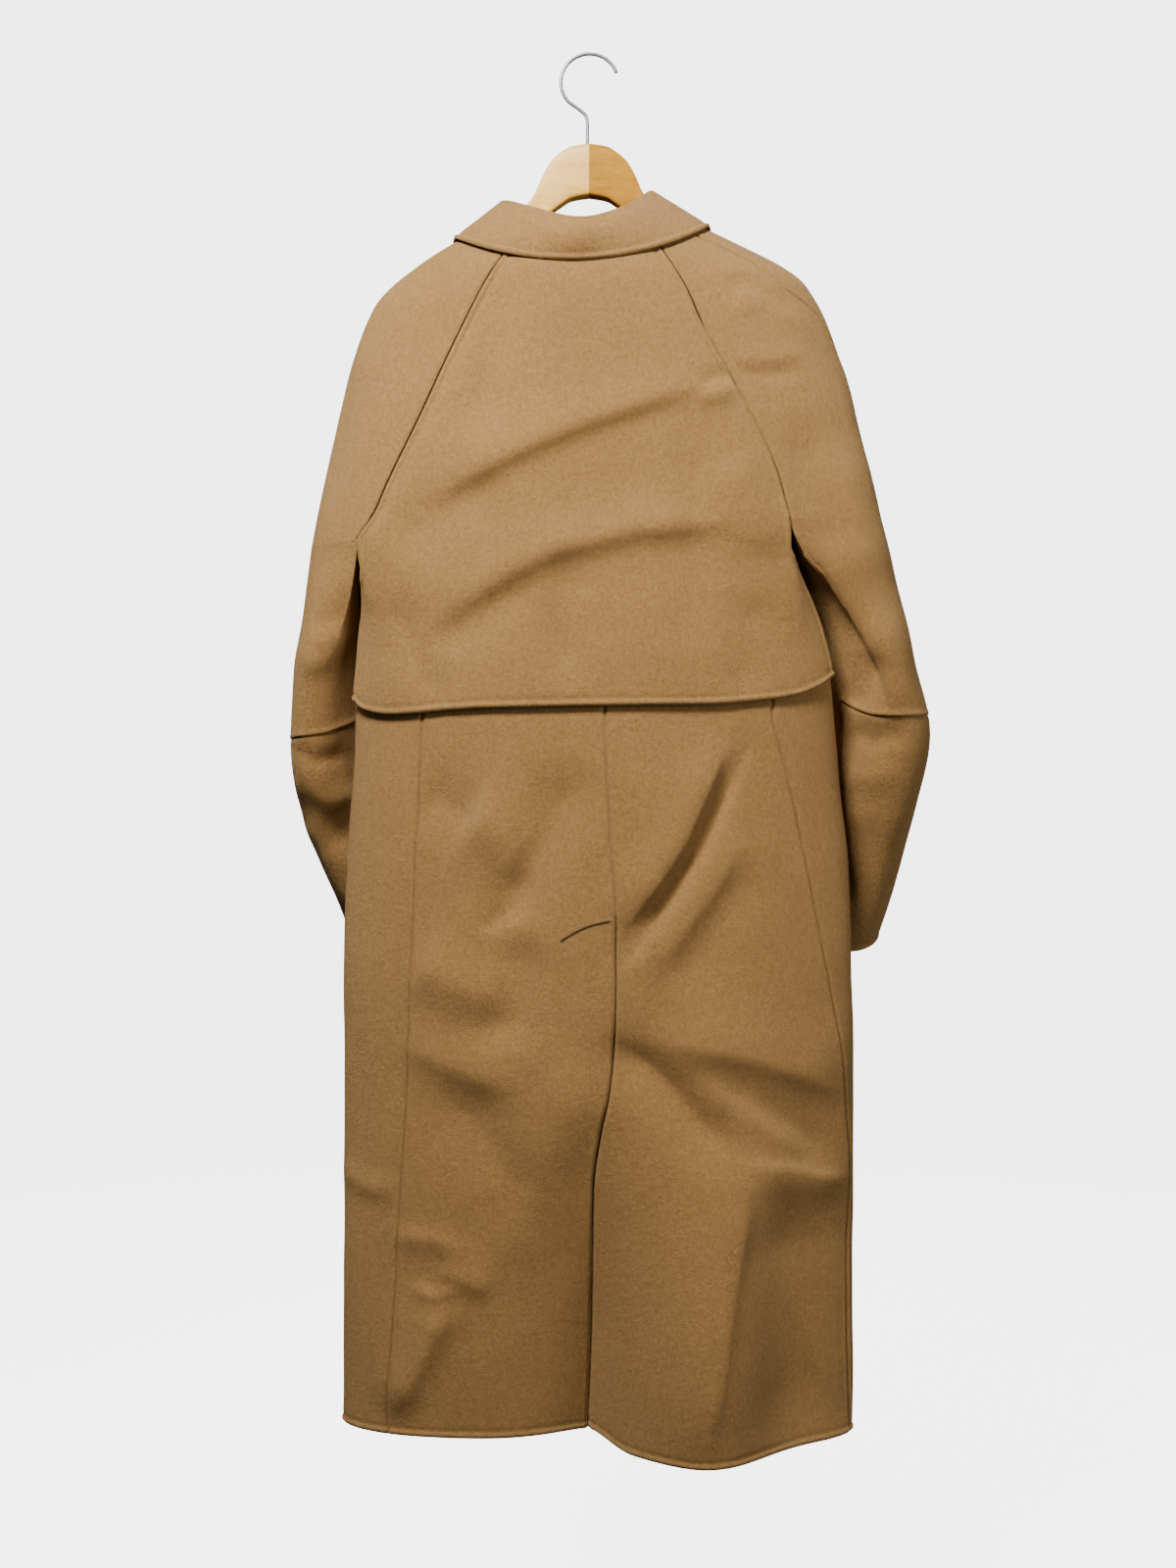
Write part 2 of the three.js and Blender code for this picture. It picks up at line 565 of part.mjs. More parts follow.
// A closed body with its faces turned outward. Points that fall together are joined,
// which drops the cells that a pointed panel pinches to nothing
function facingOut(positions, triangles) {
  const raw = new THREE.BufferGeometry();
  raw.setAttribute('position', new THREE.Float32BufferAttribute(positions, 3));
  raw.setIndex(triangles);
  const merged = mergeVertices(raw, 1e-4);
  const p = merged.getAttribute('position');
  const index = [];
  const joined = merged.getIndex().array;
  for (let i = 0; i < joined.length; i += 3) {
    const [a, b, c] = joined.slice(i, i + 3);
    if (a !== b && b !== c && c !== a) index.push(a, b, c);
  }
  const corner = (i) => new THREE.Vector3().fromBufferAttribute(p, index[i]);
  let volume = 0;
  for (let i = 0; i < index.length; i += 3) {
    volume += corner(i).dot(corner(i + 1).cross(corner(i + 2)));
  }
  if (volume < 0) index.reverse();
  const used = [...new Set(index)];
  const place = new Map(used.map((old, i) => [old, i]));
  const body = new THREE.BufferGeometry();
  const kept = used.flatMap((i) => [p.getX(i), p.getY(i), p.getZ(i)]);
  body.setAttribute('position', new THREE.Float32BufferAttribute(kept, 3));
  body.setIndex(index.map((i) => place.get(i)));
  body.computeVertexNormals();
  return body;
}

const coat = new THREE.Group();

function addPiece(name, geometry, material) {
  const mesh = new THREE.Mesh(geometry, material);
  mesh.name = name;
  coat.add(mesh);
}

// A list of numbers from first to last, both included
const spread = (first, last, count) => Array.from({ length: count + 1 },
  (unused, i) => mix(first, last, i / count));

// Quarter where a seam, moved sideways by shift, crosses the ring of a level
function seamQuarter(seam, level, from, to, shift = 0) {
  return solve((q) => {
    const p = bodyBase(q, level);
    return p.x - column(seam, 'z', 'x', p.z) - shift;
  }, from, to);
}

// Half a seam gap as a step along the way round
function halfGap(surface, around, level) {
  const reach = surface(around + PROBE, level).distanceTo(surface(around - PROBE, level));
  return SEAM_GAP * PROBE / reach;
}

// A cloth panel of a surface from rows of places. Each place has its way round, its
// level and how far its outer face is lifted off the surface
function panel(name, surface, sense, rows, material, present = () => true) {
  const face = (depth) => rows.map((row) => row.map(
    (p) => raised(surface, sense, p.around, p.level, p.lift - depth),
  ));
  addPiece(name, wall(face(0), face(CLOTH), present), material);
}

const place = (around, level, lift = 0) => ({ around, level, lift });

// Places of several blocks joined end to end, the shared corner taken once
function blocks(level, lift, ...runs) {
  const ways = runs.flatMap(([first, last, count], i) => spread(first, last, count)
    .slice(i === 0 ? 0 : 1));
  return ways.map((around) => place(around, level, lift(around, level)));
}

// The cape is sewn flush into the raglan seams: its edge sinks to the sleeve there and
// presses the back panel under it inward
function capeSink(quarter, level) {
  if (level <= ARMPIT_LEVEL) return 0;
  const wide = bodyBase(1, level).x - bodyBase(0, level).x;
  const beside = Math.min(quarter, 1 - quarter) * wide;
  return Math.exp(-((beside / CAPE_SINK.width) ** 2))
    * smooth((level - ARMPIT_LEVEL) / CAPE_SINK.height);
}
const underCape = (quarter, level) => -LAYER * capeSink(quarter, level);
const flat = () => 0;

const isBelow = (level) => level < ARMPIT_LEVEL;
const allLevels = [...shoulderLevels, ...bodyLevels];
const armpitRow = shoulderLevels.length - 1;
const ventRow = allLevels.indexOf(VENT_LEVEL);

// Back panels

function sideSeamQuarter(side, level) {
  if (!isBelow(level)) return side === 'left' ? 0 : 1;
  return side === 'left' ? seamQuarter(leftSideSeam, level, 0, 0.5)
    : seamQuarter(rightSideSeam, level, 0.5, 1);
}

// Quarter of the centre-back seam, and of the edge of the left front
const centreQuarter = (level, shift) => seamQuarter(centreBack, level, 0.2, 0.8, shift);
const frontQuarter = (level, shift) => seamQuarter(frontEdge, level, 2.2, 2.9, shift);

// Four pieces meet at the armpit, so the corners of the back and the fronts keep more room
const cornerRoom = (level) => (level === ARMPIT_LEVEL ? 14 : 1);
const frontRoom = (level) => (level === ARMPIT_LEVEL ? 5 : 1);

const coatWool = wool(WOOL_COLOUR);
const capeWool = wool(WOOL_CAPE_COLOUR);

panel('back_left', bodySurface, 1, allLevels.map((level) => {
  const side = sideSeamQuarter('left', level);
  const centre = centreQuarter(level);
  const edge = side + cornerRoom(level) * halfGap(bodySurface, side + 0.01, level);
  return blocks(level, underCape,
    [edge, centre - halfGap(bodySurface, centre, level), BACK_COLUMNS]);
}), coatWool);

// The right back panel runs on under the left one along the vent
const VENT_COLUMNS = 2;
panel('back_right', bodySurface, 1, allLevels.map((level, i) => {
  const side = sideSeamQuarter('right', level);
  const edge = side - cornerRoom(level) * halfGap(bodySurface, side - 0.01, level);
  const at = (shift) => centreQuarter(level, shift);
  const start = at(0) + halfGap(bodySurface, at(0), level);
  const lapped = i >= ventRow;
  const sunk = lapped ? -VENT_LAYER : 0;
  return [place(at(-VENT_LAP), level, -VENT_LAYER),
    place(at(-VENT_LAP / 2), level, -VENT_LAYER),
    place(start, level, sunk + underCape(start, level)),
    ...blocks(level, underCape, [at(LAP_STEP), edge, BACK_COLUMNS])];
}), coatWool, (i, j) => j >= VENT_COLUMNS || i >= ventRow);

// Fronts, each wrapping round its side to the side seam on the back. The left one laps
// over the right one; below the armpit both run on under the arm

const WRAP_COLUMNS = 2;
const underArm = (level) => (level === ARMPIT_LEVEL ? level - SEAM_GAP : level);

panel('front_left', bodySurface, 1, allLevels.map((level) => {
  const side = sideSeamQuarter('left', level);
  const wrap = isBelow(level) ? side - halfGap(bodySurface, side, level) : 0;
  const cut = frontQuarter(level);
  const edge = cut + halfGap(bodySurface, cut, level) - WHOLE_RING;
  const raglan = isBelow(level) ? -1 : -1 - frontRoom(level) * halfGap(bodySurface, -1.01, level);
  return [...blocks(level, flat, [edge, raglan, FRONT_COLUMNS]),
    ...blocks(underArm(level), flat, [-1, 0, INNER_COLUMNS], [0, wrap, WRAP_COLUMNS]).slice(1)];
}), coatWool, (i, j) => j < FRONT_COLUMNS || i >= armpitRow);

panel('front_right', bodySurface, 1, allLevels.map((level) => {
  const side = sideSeamQuarter('right', level);
  const wrap = isBelow(level) ? side + halfGap(bodySurface, side, level) : 1;
  const at = (shift) => frontQuarter(level, shift);
  const raglan = isBelow(level) ? 2 : 2 + frontRoom(level) * halfGap(bodySurface, 2.01, level);
  return [
    ...blocks(underArm(level), flat, [wrap, 1, WRAP_COLUMNS], [1, 2, INNER_COLUMNS]).slice(0, -1),
    ...blocks(level, flat, [raglan, at(LAP_STEP), FRONT_COLUMNS]),
    place(at(0) - halfGap(bodySurface, at(0), level), level, -FRONT_LAYER),
    place(at(-FRONT_LAP / 2), level, -FRONT_LAYER),
    place(at(-FRONT_LAP), level, -FRONT_LAYER)];
}), coatWool, (i, j) => j >= WRAP_COLUMNS + INNER_COLUMNS || i >= armpitRow);

// Cape

function capeHemLevel(quarter) {
  return solve((level) => {
    const p = bodyBase(quarter, level);
    return p.z - column(capeHem, 'x', 'z', p.x);
  }, -660, -570);
}

const capeLevels = allLevels.filter((level) => level > CAPE_HEM_START);

function capeLift(quarter, level) {
  return LAYER * (1 - capeSink(quarter, level))
    + CAPE_STANDOFF * smooth((CAPE_SPRING_LEVEL - level) / (CAPE_SPRING_LEVEL - CAPE_LEVEL));
}

// The cape's columns lie over those of the panels under it
function capeRow(level, levelOf) {
  const reach = isBelow(level) ? column(capeSide, 'z', 'reach', level) : 0;
  const trim = isBelow(level) ? 0 : halfGap(bodySurface, 0.01, level);
  const centre = centreQuarter(level);
  const second = centreQuarter(level, LAP_STEP);
  const left = Math.max(trim, sideSeamQuarter('left', level));
  const right = Math.min(1 - trim, sideSeamQuarter('right', level));
  const runs = [[trim - reach, trim, WRAP_COLUMNS], [trim, left, WRAP_COLUMNS],
    [left, centre, BACK_COLUMNS], [centre, second, 1], [second, right, BACK_COLUMNS],
    [right, 1 - trim, WRAP_COLUMNS], [1 - trim, 1 - trim + reach, WRAP_COLUMNS]];
  return blocks(level, flat, ...runs).map(({ around }) => {
    const own = levelOf(around);
    return place(around, own, capeLift(around, own));
  });
}

panel('cape_back', bodySurface, 1, [
  ...capeLevels.map((level) => capeRow(level, () => level)),
  ...spread(0, 1, CAPE_HEM_ROWS).slice(1).map((share) => {
    const start = capeLevels[capeLevels.length - 1];
    return capeRow(mix(start, CAPE_LEVEL, share),
      (q) => mix(start, capeHemLevel(q), share));
  }),
], capeWool);

// Sleeves

// Way round of the overarm seam, which runs on along the outside of the arm
const OUTERMOST = 0.5;
const OVERARM_SETTLES = -400;
function overarm(side, level) {
  if (isBelow(level)) return OUTERMOST;
  const marks = raglanAngles(level);
  const behind = THREE.MathUtils.degToRad(column(overarmSeam, 'z', side, level));
  const front = marks.frontLeft - 2 * Math.PI;
  const way = side === 'right'
    ? (-behind - marks.backRight) / (marks.frontRight - marks.backRight)
    : (marks.backLeft + Math.PI - behind) / (marks.backLeft - front);
  return mix(way, OUTERMOST,
    smooth((OVERARM_SETTLES - level) / (OVERARM_SETTLES - ARMPIT_LEVEL)));
}

// Level at which a place on the back of the sleeve meets the elbow seam
function elbowLevel(side, around) {
  const seam = elbowSeam[side];
  const share = (OUTERMOST - around) / (OUTERMOST - INNER_SEAM);
  const height = mix(seam.outer, seam.inner, share) - seam.sag * 4 * share * (1 - share);
  return solve((level) => sleeveBase(side, around, level).z - height, -720, -590);
}

for (const side of ['left', 'right']) {
  const surface = sleeveSurface[side];
  const sense = side === 'right' ? 1 : -1;
  const gap = (around, level) => halfGap(surface, around, level);
  const ownLevel = (a, level) => level;
  const row = (ways, levelOf) => {
    const places = ways.map(([a, level]) => place(a, levelOf(a, level)));
    return side === 'right' ? places : places.reverse();
  };
  const upper = [...shoulderLevels, ...sleeveLevels];

  // Back of the sleeve, from the inner seam over the raglan seam to the overarm seam
  const backRow = (level, levelOf = ownLevel) => {
    const first = isBelow(level) ? 0 : gap(0.01, level);
    const over = overarm(side, level);
    return row([
      ...spread(INNER_SEAM, 0, INNER_COLUMNS).slice(0, -1).map((a) => [a, underArm(level)]),
      ...spread(first, over - gap(over, level), SLEEVE_COLUMNS).map((a) => [a, level]),
    ], levelOf);
  };
  const isInner = (j) => (side === 'right' ? j < INNER_COLUMNS : j >= SLEEVE_COLUMNS);
  panel(`sleeve_${side}_back_upper`, surface, sense, [
    ...upper.map((level) => backRow(level)),
    backRow(ELBOW_LEVEL, (a) => elbowLevel(side, a) + SEAM_GAP / 2),
  ], coatWool, (i, j) => !isInner(j) || i >= armpitRow);
  panel(`sleeve_${side}_back_lower`, surface, sense, [
    backRow(ELBOW_LEVEL, (a) => elbowLevel(side, a) - SEAM_GAP / 2),
    ...forearmLevels.map((level) => backRow(level)),
  ], coatWool);

  // Front of the sleeve, from the overarm seam over the raglan seam to the inner seam
  const frontRow = (level, levelOf = ownLevel) => {
    const over = overarm(side, level);
    const last = isBelow(level) ? 1 : 1 - gap(0.99, level);
    const end = 2 + INNER_SEAM - 2 * gap(1.5, level);
    return row([
      ...spread(over + gap(over, level), last, SLEEVE_COLUMNS).map((a) => [a, level]),
      ...spread(1, end, INNER_COLUMNS).slice(1).map((a) => [a, underArm(level)]),
    ], levelOf);
  };
  const elbowEnds = [elbowLevel(side, OUTERMOST), elbowLevel(side, INNER_SEAM)];
  const frontElbow = (a) => mix(...elbowEnds, (a - OUTERMOST) / (2 + INNER_SEAM - OUTERMOST));
  const isInnerFront = (j) => (side === 'right' ? j >= SLEEVE_COLUMNS : j < INNER_COLUMNS);
  panel(`sleeve_${side}_front`, surface, sense, [
    ...upper.map((level) => frontRow(level)),
    frontRow(ELBOW_LEVEL, frontElbow),
    ...forearmLevels.map((level) => frontRow(level)),
  ], coatWool, (i, j) => !isInnerFront(j) || i >= armpitRow);
}

// Collar: a stand that rises from the neck seam, rolls over and falls on the shoulders

function collarEdgePoint(angle, turn) {
  const level = column(collarEdge, 'turn', 'level', turn);
  const point = shoulderPoint(level, angle);
  const way = shoulderPoint(level, angle + PROBE).sub(shoulderPoint(level, angle - PROBE));
  const up = shoulderPoint(level + 1, angle).sub(shoulderPoint(level - 1, angle));
  const normal = way.cross(up).normalize();
  return point.addScaledVector(normal, column(collarEdge, 'turn', 'lift', turn));
}

function collarSection(turn) {
  const angle = -Math.PI / 2 + turn * Math.PI * COLLAR_FRONT_STOP;
  const neck = shoulderPoint(NECK_LEVEL, angle);
  const inward = new THREE.Vector3(neck.x - NECK_CENTRE_X, neck.y, 0).normalize();
  neck.addScaledVector(inward, -CLOTH / 2);
  const at = (table) => new THREE.Vector3(...['x', 'y', 'z'].map(
    (name) => column(table, 'turn', name, turn),
  ));
  const roll = at(collarRoll);
  const edge = collarEdgePoint(angle, turn);
  const out = new THREE.Vector3(edge.x - roll.x, edge.y - roll.y, 0).normalize();
  const centre = roll.clone().setZ(roll.z - COLLAR_ROLL_RADIUS);
  const flatten = (v) => [v.clone().sub(centre).dot(out), v.z - centre.z];
  const [neckOut, neckUp] = flatten(neck);
  const [edgeOut, edgeUp] = flatten(edge);
  const heading = (o, u) => {
    const length = Math.hypot(o, u);
    return [o / length, u / length];
  };
  const rise = heading(-COLLAR_ROLL_RADIUS - neckOut, -neckUp);
  const fall = heading(edgeOut - COLLAR_ROLL_RADIUS, edgeUp);
  const start = Math.atan2(rise[0], -rise[1]) + 2 * Math.PI * (rise[0] < 0 ? 1 : 0);
  const end = Math.atan2(fall[0], -fall[1]);
  const arc = spread(start, end, 4).map((a) => [COLLAR_ROLL_RADIUS * Math.cos(a),
    COLLAR_ROLL_RADIUS * Math.sin(a)]);
  const foot = [neckOut + rise[0] * COLLAR_FOOT, neckUp + rise[1] * COLLAR_FOOT];
  const stand = [foot, [mix(foot[0], arc[0][0], 0.5), mix(foot[1], arc[0][1], 0.5)]];
  const lastArc = arc[arc.length - 1];
  const swell = COLLAR_SWELL.height * (1 - smooth(Math.abs(turn) / COLLAR_SWELL.reach));
  const drop = spread(0, 1, 3).slice(1).map((t) => [
    mix(lastArc[0], edgeOut, t) - fall[1] * swell * Math.sin(Math.PI * t),
    mix(lastArc[1], edgeUp, t) + fall[0] * swell * Math.sin(Math.PI * t),
  ]);
  const path = [...stand, ...arc, ...drop];
  const skew = neck.clone().sub(centre);
  const sideways = skew.addScaledVector(out, -skew.dot(out)).setZ(0);
  return path.map((p, i) => {
    const before = path[Math.max(0, i - 1)];
    const after = path[Math.min(path.length - 1, i + 1)];
    const [ho, hu] = heading(after[0] - before[0], after[1] - before[1]);
    const share = Math.max(0, 1 - i / 2);
    const point = centre.clone().addScaledVector(out, p[0])
      .add(new THREE.Vector3(0, 0, p[1])).addScaledVector(sideways, share);
    const normal = out.clone().multiplyScalar(-hu).add(new THREE.Vector3(0, 0, ho));
    return { point, normal };
  });
}

const collarSections = spread(-1, 1, COLLAR_SECTIONS).map((turn) => collarSection(turn));
const collarFace = (depth) => collarSections.map((section) => section.map(
  ({ point, normal }) => point.clone().addScaledVector(normal, depth),
));
addPiece('collar', wall(collarFace(CLOTH / 2), collarFace(-CLOTH / 2), () => true), coatWool);

// Hanger: a bar of even depth with rounded edges, sloping to its ends

function barSection(out, mirror) {
  const at = (name) => column(hangerBar, 'out', name, out);
  const middle = (at('top') + at('bottom')) / 2;
  const half = (at('top') - at('bottom')) / 2;
  return spread(0, 2 * Math.PI, BAR_SIDES).slice(0, -1).map((a) => {
    const c = Math.cos(a);
    const s = Math.sin(a);
    return new THREE.Vector3(mirror * out,
      HANGER_HALF_DEPTH * Math.sign(c) * Math.abs(c) ** BAR_ROUNDING,
      middle + half * Math.sign(s) * Math.abs(s) ** BAR_ROUNDING);
  });
}

function loft(sections) {
  const positions = sections.flatMap((ring) => ring.flatMap((p) => [p.x, p.y, p.z]));
  const count = sections[0].length;
  const triangles = [];
  for (let i = 0; i < sections.length - 1; i += 1) {
    for (let j = 0; j < count; j += 1) {
      const next = (j + 1) % count;
      const a = i * count + j;
      const b = i * count + next;
      triangles.push(a, b, b + count, a, b + count, a + count);
    }
  }
  const last = (sections.length - 1) * count;
  for (let j = 1; j < count - 1; j += 1) {
    triangles.push(0, j + 1, j);
    triangles.push(last, last + j, last + j + 1);
  }
  return facingOut(positions, triangles);
}

const barStations = [...hangerBar.map((row) => row.out), ...extraStations].sort((a, b) => a - b);
addPiece('hanger_wood', loft([
  ...barStations.slice(1).reverse().map((out) => barSection(out, -1)),
  ...barStations.map((out) => barSection(out, 1)),
]), new THREE.MeshStandardMaterial({ color: WOOD_COLOUR, roughness: 0.5, metalness: 0 }));

// Hook: a wire bent from its tip over the top and round into a straight stem
const hookArc = spread(HOOK_TIP_ANGLE, HOOK_END_ANGLE, 18).map((a) => new THREE.Vector3(
  HOOK_CENTRE.x + HOOK_RADIUS * Math.cos(a), 0, HOOK_CENTRE.z + HOOK_RADIUS * Math.sin(a),
));
const hookCurve = new THREE.CatmullRomCurve3([...hookArc,
  ...stemPoints.map((p) => new THREE.Vector3(p.x, 0, p.z))], false, 'centripetal');
const wireShape = new THREE.Shape(spread(0, 2 * Math.PI, WIRE_SIDES).slice(0, -1).map(
  (a) => new THREE.Vector2(Math.cos(a), Math.sin(a)).multiplyScalar(HOOK_WIRE / 2),
));
const hookGeometry = new THREE.ExtrudeGeometry(wireShape, {
  steps: HOOK_STEPS, bevelEnabled: false, extrudePath: hookCurve,
});
addPiece('hanger_hook', hookGeometry, new THREE.MeshStandardMaterial({
  color: HOOK_COLOUR, roughness: 0.2, metalness: 1,
}));

export default coat;
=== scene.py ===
import bpy
import numpy as np
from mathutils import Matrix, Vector


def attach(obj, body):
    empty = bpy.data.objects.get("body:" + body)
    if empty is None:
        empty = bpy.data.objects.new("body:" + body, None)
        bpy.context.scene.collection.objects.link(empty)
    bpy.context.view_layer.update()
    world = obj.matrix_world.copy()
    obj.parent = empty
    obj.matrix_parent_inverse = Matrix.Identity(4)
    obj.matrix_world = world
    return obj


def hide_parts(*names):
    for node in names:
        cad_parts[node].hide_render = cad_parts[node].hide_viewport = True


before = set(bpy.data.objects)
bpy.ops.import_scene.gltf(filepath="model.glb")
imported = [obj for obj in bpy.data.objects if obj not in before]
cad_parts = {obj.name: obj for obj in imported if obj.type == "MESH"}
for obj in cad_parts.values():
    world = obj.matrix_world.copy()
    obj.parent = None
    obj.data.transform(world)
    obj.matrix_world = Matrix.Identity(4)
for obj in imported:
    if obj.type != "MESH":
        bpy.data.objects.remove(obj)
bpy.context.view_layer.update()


# Bar of the hanger: pale clear-lacquered wood in two halves, cut to the slope of the
# shoulders. The back slopes away from a ridge at the middle, and the edges are rounded over.
# The right half is coloured darker and the left half paler: painted shade and painted light.
def smooth_curve(keys, values):
    """A line through a table's points that never overshoots between two of them."""
    order = np.argsort(keys)
    at = np.asarray(keys, float)[order]
    value = np.asarray(values, float)[order]
    step = np.diff(at)
    slope = np.diff(value) / step
    before, after = slope[:-1], slope[1:]
    same = before * after > 0
    first = 2 * step[1:] + step[:-1]
    second = step[1:] + 2 * step[:-1]
    blend = first / np.where(same, before, 1) + second / np.where(same, after, 1)
    inner = np.where(same, (first + second) / np.where(same, blend, 1), 0)
    tangent = np.concatenate([slope[:1], inner, slope[-1:]])

    def curve(key):
        key = np.clip(key, at[0], at[-1])
        i = np.clip(np.searchsorted(at, key, side="right") - 1, 0, len(step) - 1)
        t = (key - at[i]) / step[i]
        rise = tangent[i] * t * (1 - t) ** 2 + tangent[i + 1] * t * t * (t - 1)
        return (value[i] * (1 + 2 * t) * (1 - t) ** 2
                + value[i + 1] * t * t * (3 - 2 * t) + step[i] * rise)

    return curve


def columns(table):
    """One smooth curve for each column of a table after its first, the key."""
    table = np.asarray(table, float)
    return [smooth_curve(table[:, 0], table[:, k]) for k in range(1, table.shape[1])]


def piece(name, points, faces, material, replaced):
    """A mesh of the object from points in millimetres, standing for CAD nodes."""
    mesh = bpy.data.meshes.new(name)
    faces = faces.tolist() if isinstance(faces, np.ndarray) else faces
    mesh.from_pydata((np.asarray(points) * 0.001).tolist(), [], faces)
    mesh.validate()
    mesh.shade_smooth()
    thing = bpy.data.objects.new(name, mesh)
    bpy.context.scene.collection.objects.link(thing)
    mesh.materials.append(material)
    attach(thing, "root")
    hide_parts(*replaced)
    return thing


def blank_material(name):
    """A material with its nodes, and a short way to add one more node to it."""
    material = bpy.data.materials.new(name)
    material.use_nodes = True
    tree = material.node_tree

    def add(kind, inputs=None, **settings):
        node = tree.nodes.new("ShaderNode" + kind)
        for key, value in settings.items():
            setattr(node, key, value)
        for key, value in (inputs or {}).items():
            if isinstance(value, bpy.types.NodeSocket):
                tree.links.new(value, node.inputs[key])
            else:
                node.inputs[key].default_value = value
        return node

    return material, tree, tree.nodes["Principled BSDF"], add


def color_ramp(add, factor, stops):
    """A colour that runs through stops of (position, (red, green, blue))."""
    ramp = add("ValToRGB", {"Fac": factor})
    elements = ramp.color_ramp.elements
    while len(elements) < len(stops):
        elements.new(0.5)
    for element, (position, colour) in zip(elements, stops):
        element.position = position
        element.color = (*colour, 1)
    return ramp.outputs["Color"]


def lacquered_wood():
    material, tree, shader, add = blank_material("lacquered_wood")
    place = add("TexCoord").outputs["Object"]
    along = add("Mapping", {"Vector": place, "Scale": (6, 60, 75)}).outputs["Vector"]
    grain = add("TexNoise", {"Vector": along, "Scale": 2.2, "Detail": 7, "Roughness": 0.6,
                             "Distortion": 0.7})
    pores = add("Mapping", {"Vector": place, "Scale": (60, 600, 900)}).outputs["Vector"]
    fleck = add("TexNoise", {"Vector": pores, "Scale": 1.6, "Detail": 2})
    # The wood's grain in two copies: a deeper-toned one, painted shade for the right half (x
    # above 0), and a paler one, painted light for the left half, which faces the light.
    painted_shade_wood = color_ramp(add, grain.outputs["Fac"], [
        (0.30, (0.34, 0.150, 0.012)), (0.50, (0.45, 0.210, 0.018)), (0.72, (0.53, 0.260, 0.030))])
    pale = color_ramp(add, grain.outputs["Fac"], [
        (0.30, (0.66, 0.36, 0.060)), (0.50, (0.84, 0.48, 0.095)), (0.72, (0.92, 0.56, 0.130))])
    across = add("SeparateXYZ", {"Vector": place})
    # Left of the middle takes the paler painted-light copy, right of it the painted-shade copy.
    which = add("Math", {0: across.outputs["X"], 1: 0.0}, operation="LESS_THAN")
    halves = add("Mix", {0: which.outputs["Value"], 6: painted_shade_wood, 7: pale}, data_type="RGBA")
    speck = color_ramp(add, fleck.outputs["Fac"], [(0.34, (0.72, 0.62, 0.5)), (0.5, (1, 1, 1))])
    both = add("Mix", {0: 0.55, 6: halves.outputs[2], 7: speck}, data_type="RGBA",
               blend_type="MULTIPLY")
    tree.links.new(both.outputs[2], shader.inputs["Base Color"])
    shine = add("MapRange", {"Value": grain.outputs["Fac"], "To Min": 0.30, "To Max": 0.46})
    tree.links.new(shine.outputs["Result"], shader.inputs["Roughness"])
    bump = add("Bump", {"Height": fleck.outputs["Fac"], "Strength": 0.12, "Distance": 0.0004})
    tree.links.new(bump.outputs["Normal"], shader.inputs["Normal"])
    shader.inputs["Coat Weight"].default_value = 0.06
    shader.inputs["Coat Roughness"].default_value = 0.3
    shader.inputs["Specular IOR Level"].default_value = 0.2
    return material


bar_top, bar_bottom = columns([
    # out, top, bottom
    [0, -87, -137], [17, -89.3, -140], [27, -94.7, -146], [36.7, -103.4, -153],
    [44.4, -116, -160], [52, -133, -167], [64, -149, -178], [100, -171, -200],
    [127, -185.5, -213], [148, -199, -225], [171, -216.5, -239], [189, -232.5, -252],
    [197, -242, -256]])
BAR_DEPTH = 10
BAR_BACK_SLOPE = 0.115
BAR_SLOPE_END = 46
BAR_SIDES = 64
BAR_ROUNDING = 0.32
BAR_TIP_START = 190
BAR_TIP_LENGTH = 7.2
BAR_TIP_END = 0.12


def ring_faces(rings, sides, closed_ends=True):
    """Faces of a tube made of rings, with a flat face at each end."""
    faces = []
    for i in range(rings - 1):
        for j in range(sides):
            k = (j + 1) % sides
            faces.append((i * sides + j, i * sides + k, (i + 1) * sides + k, (i + 1) * sides + j))
    if closed_ends:
        last = (rings - 1) * sides
        faces.append(tuple(range(sides - 1, -1, -1)))
        faces.append(tuple(range(last, last + sides)))
    return faces


def hanger_bar():
    half = np.concatenate([[0, 0.5, 1.0], np.linspace(2, 60, 31), np.linspace(63, 194, 50),
                           [195.4, 196.4, 197]])
    stations = np.concatenate([-half[:0:-1], half])
    turn = np.linspace(0, 2 * np.pi, BAR_SIDES, endpoint=False)
    across = np.sign(np.cos(turn)) * np.abs(np.cos(turn)) ** BAR_ROUNDING
    upright = np.sign(np.sin(turn)) * np.abs(np.sin(turn)) ** BAR_ROUNDING
    rings = []
    for x in stations:
        out = abs(x)
        past = max(out - BAR_TIP_START, 0) / BAR_TIP_LENGTH
        rounding = np.sqrt(max(1 - past ** 2, BAR_TIP_END))
        middle = (bar_top(out) + bar_bottom(out)) / 2
        height = (bar_top(out) - bar_bottom(out)) / 2 * rounding
        back = BAR_DEPTH - BAR_BACK_SLOPE * min(out, BAR_SLOPE_END)
        depth = np.where(across < 0, back, BAR_DEPTH)
        rings.append(np.stack([np.full(BAR_SIDES, x), depth * rounding * across,
                               middle + height * upright], axis=-1))
    return np.concatenate(rings), ring_faces(len(stations), BAR_SIDES)


bar_points, bar_faces = hanger_bar()
piece("hanger_bar", bar_points, bar_faces, lacquered_wood(), ["hanger_wood"])


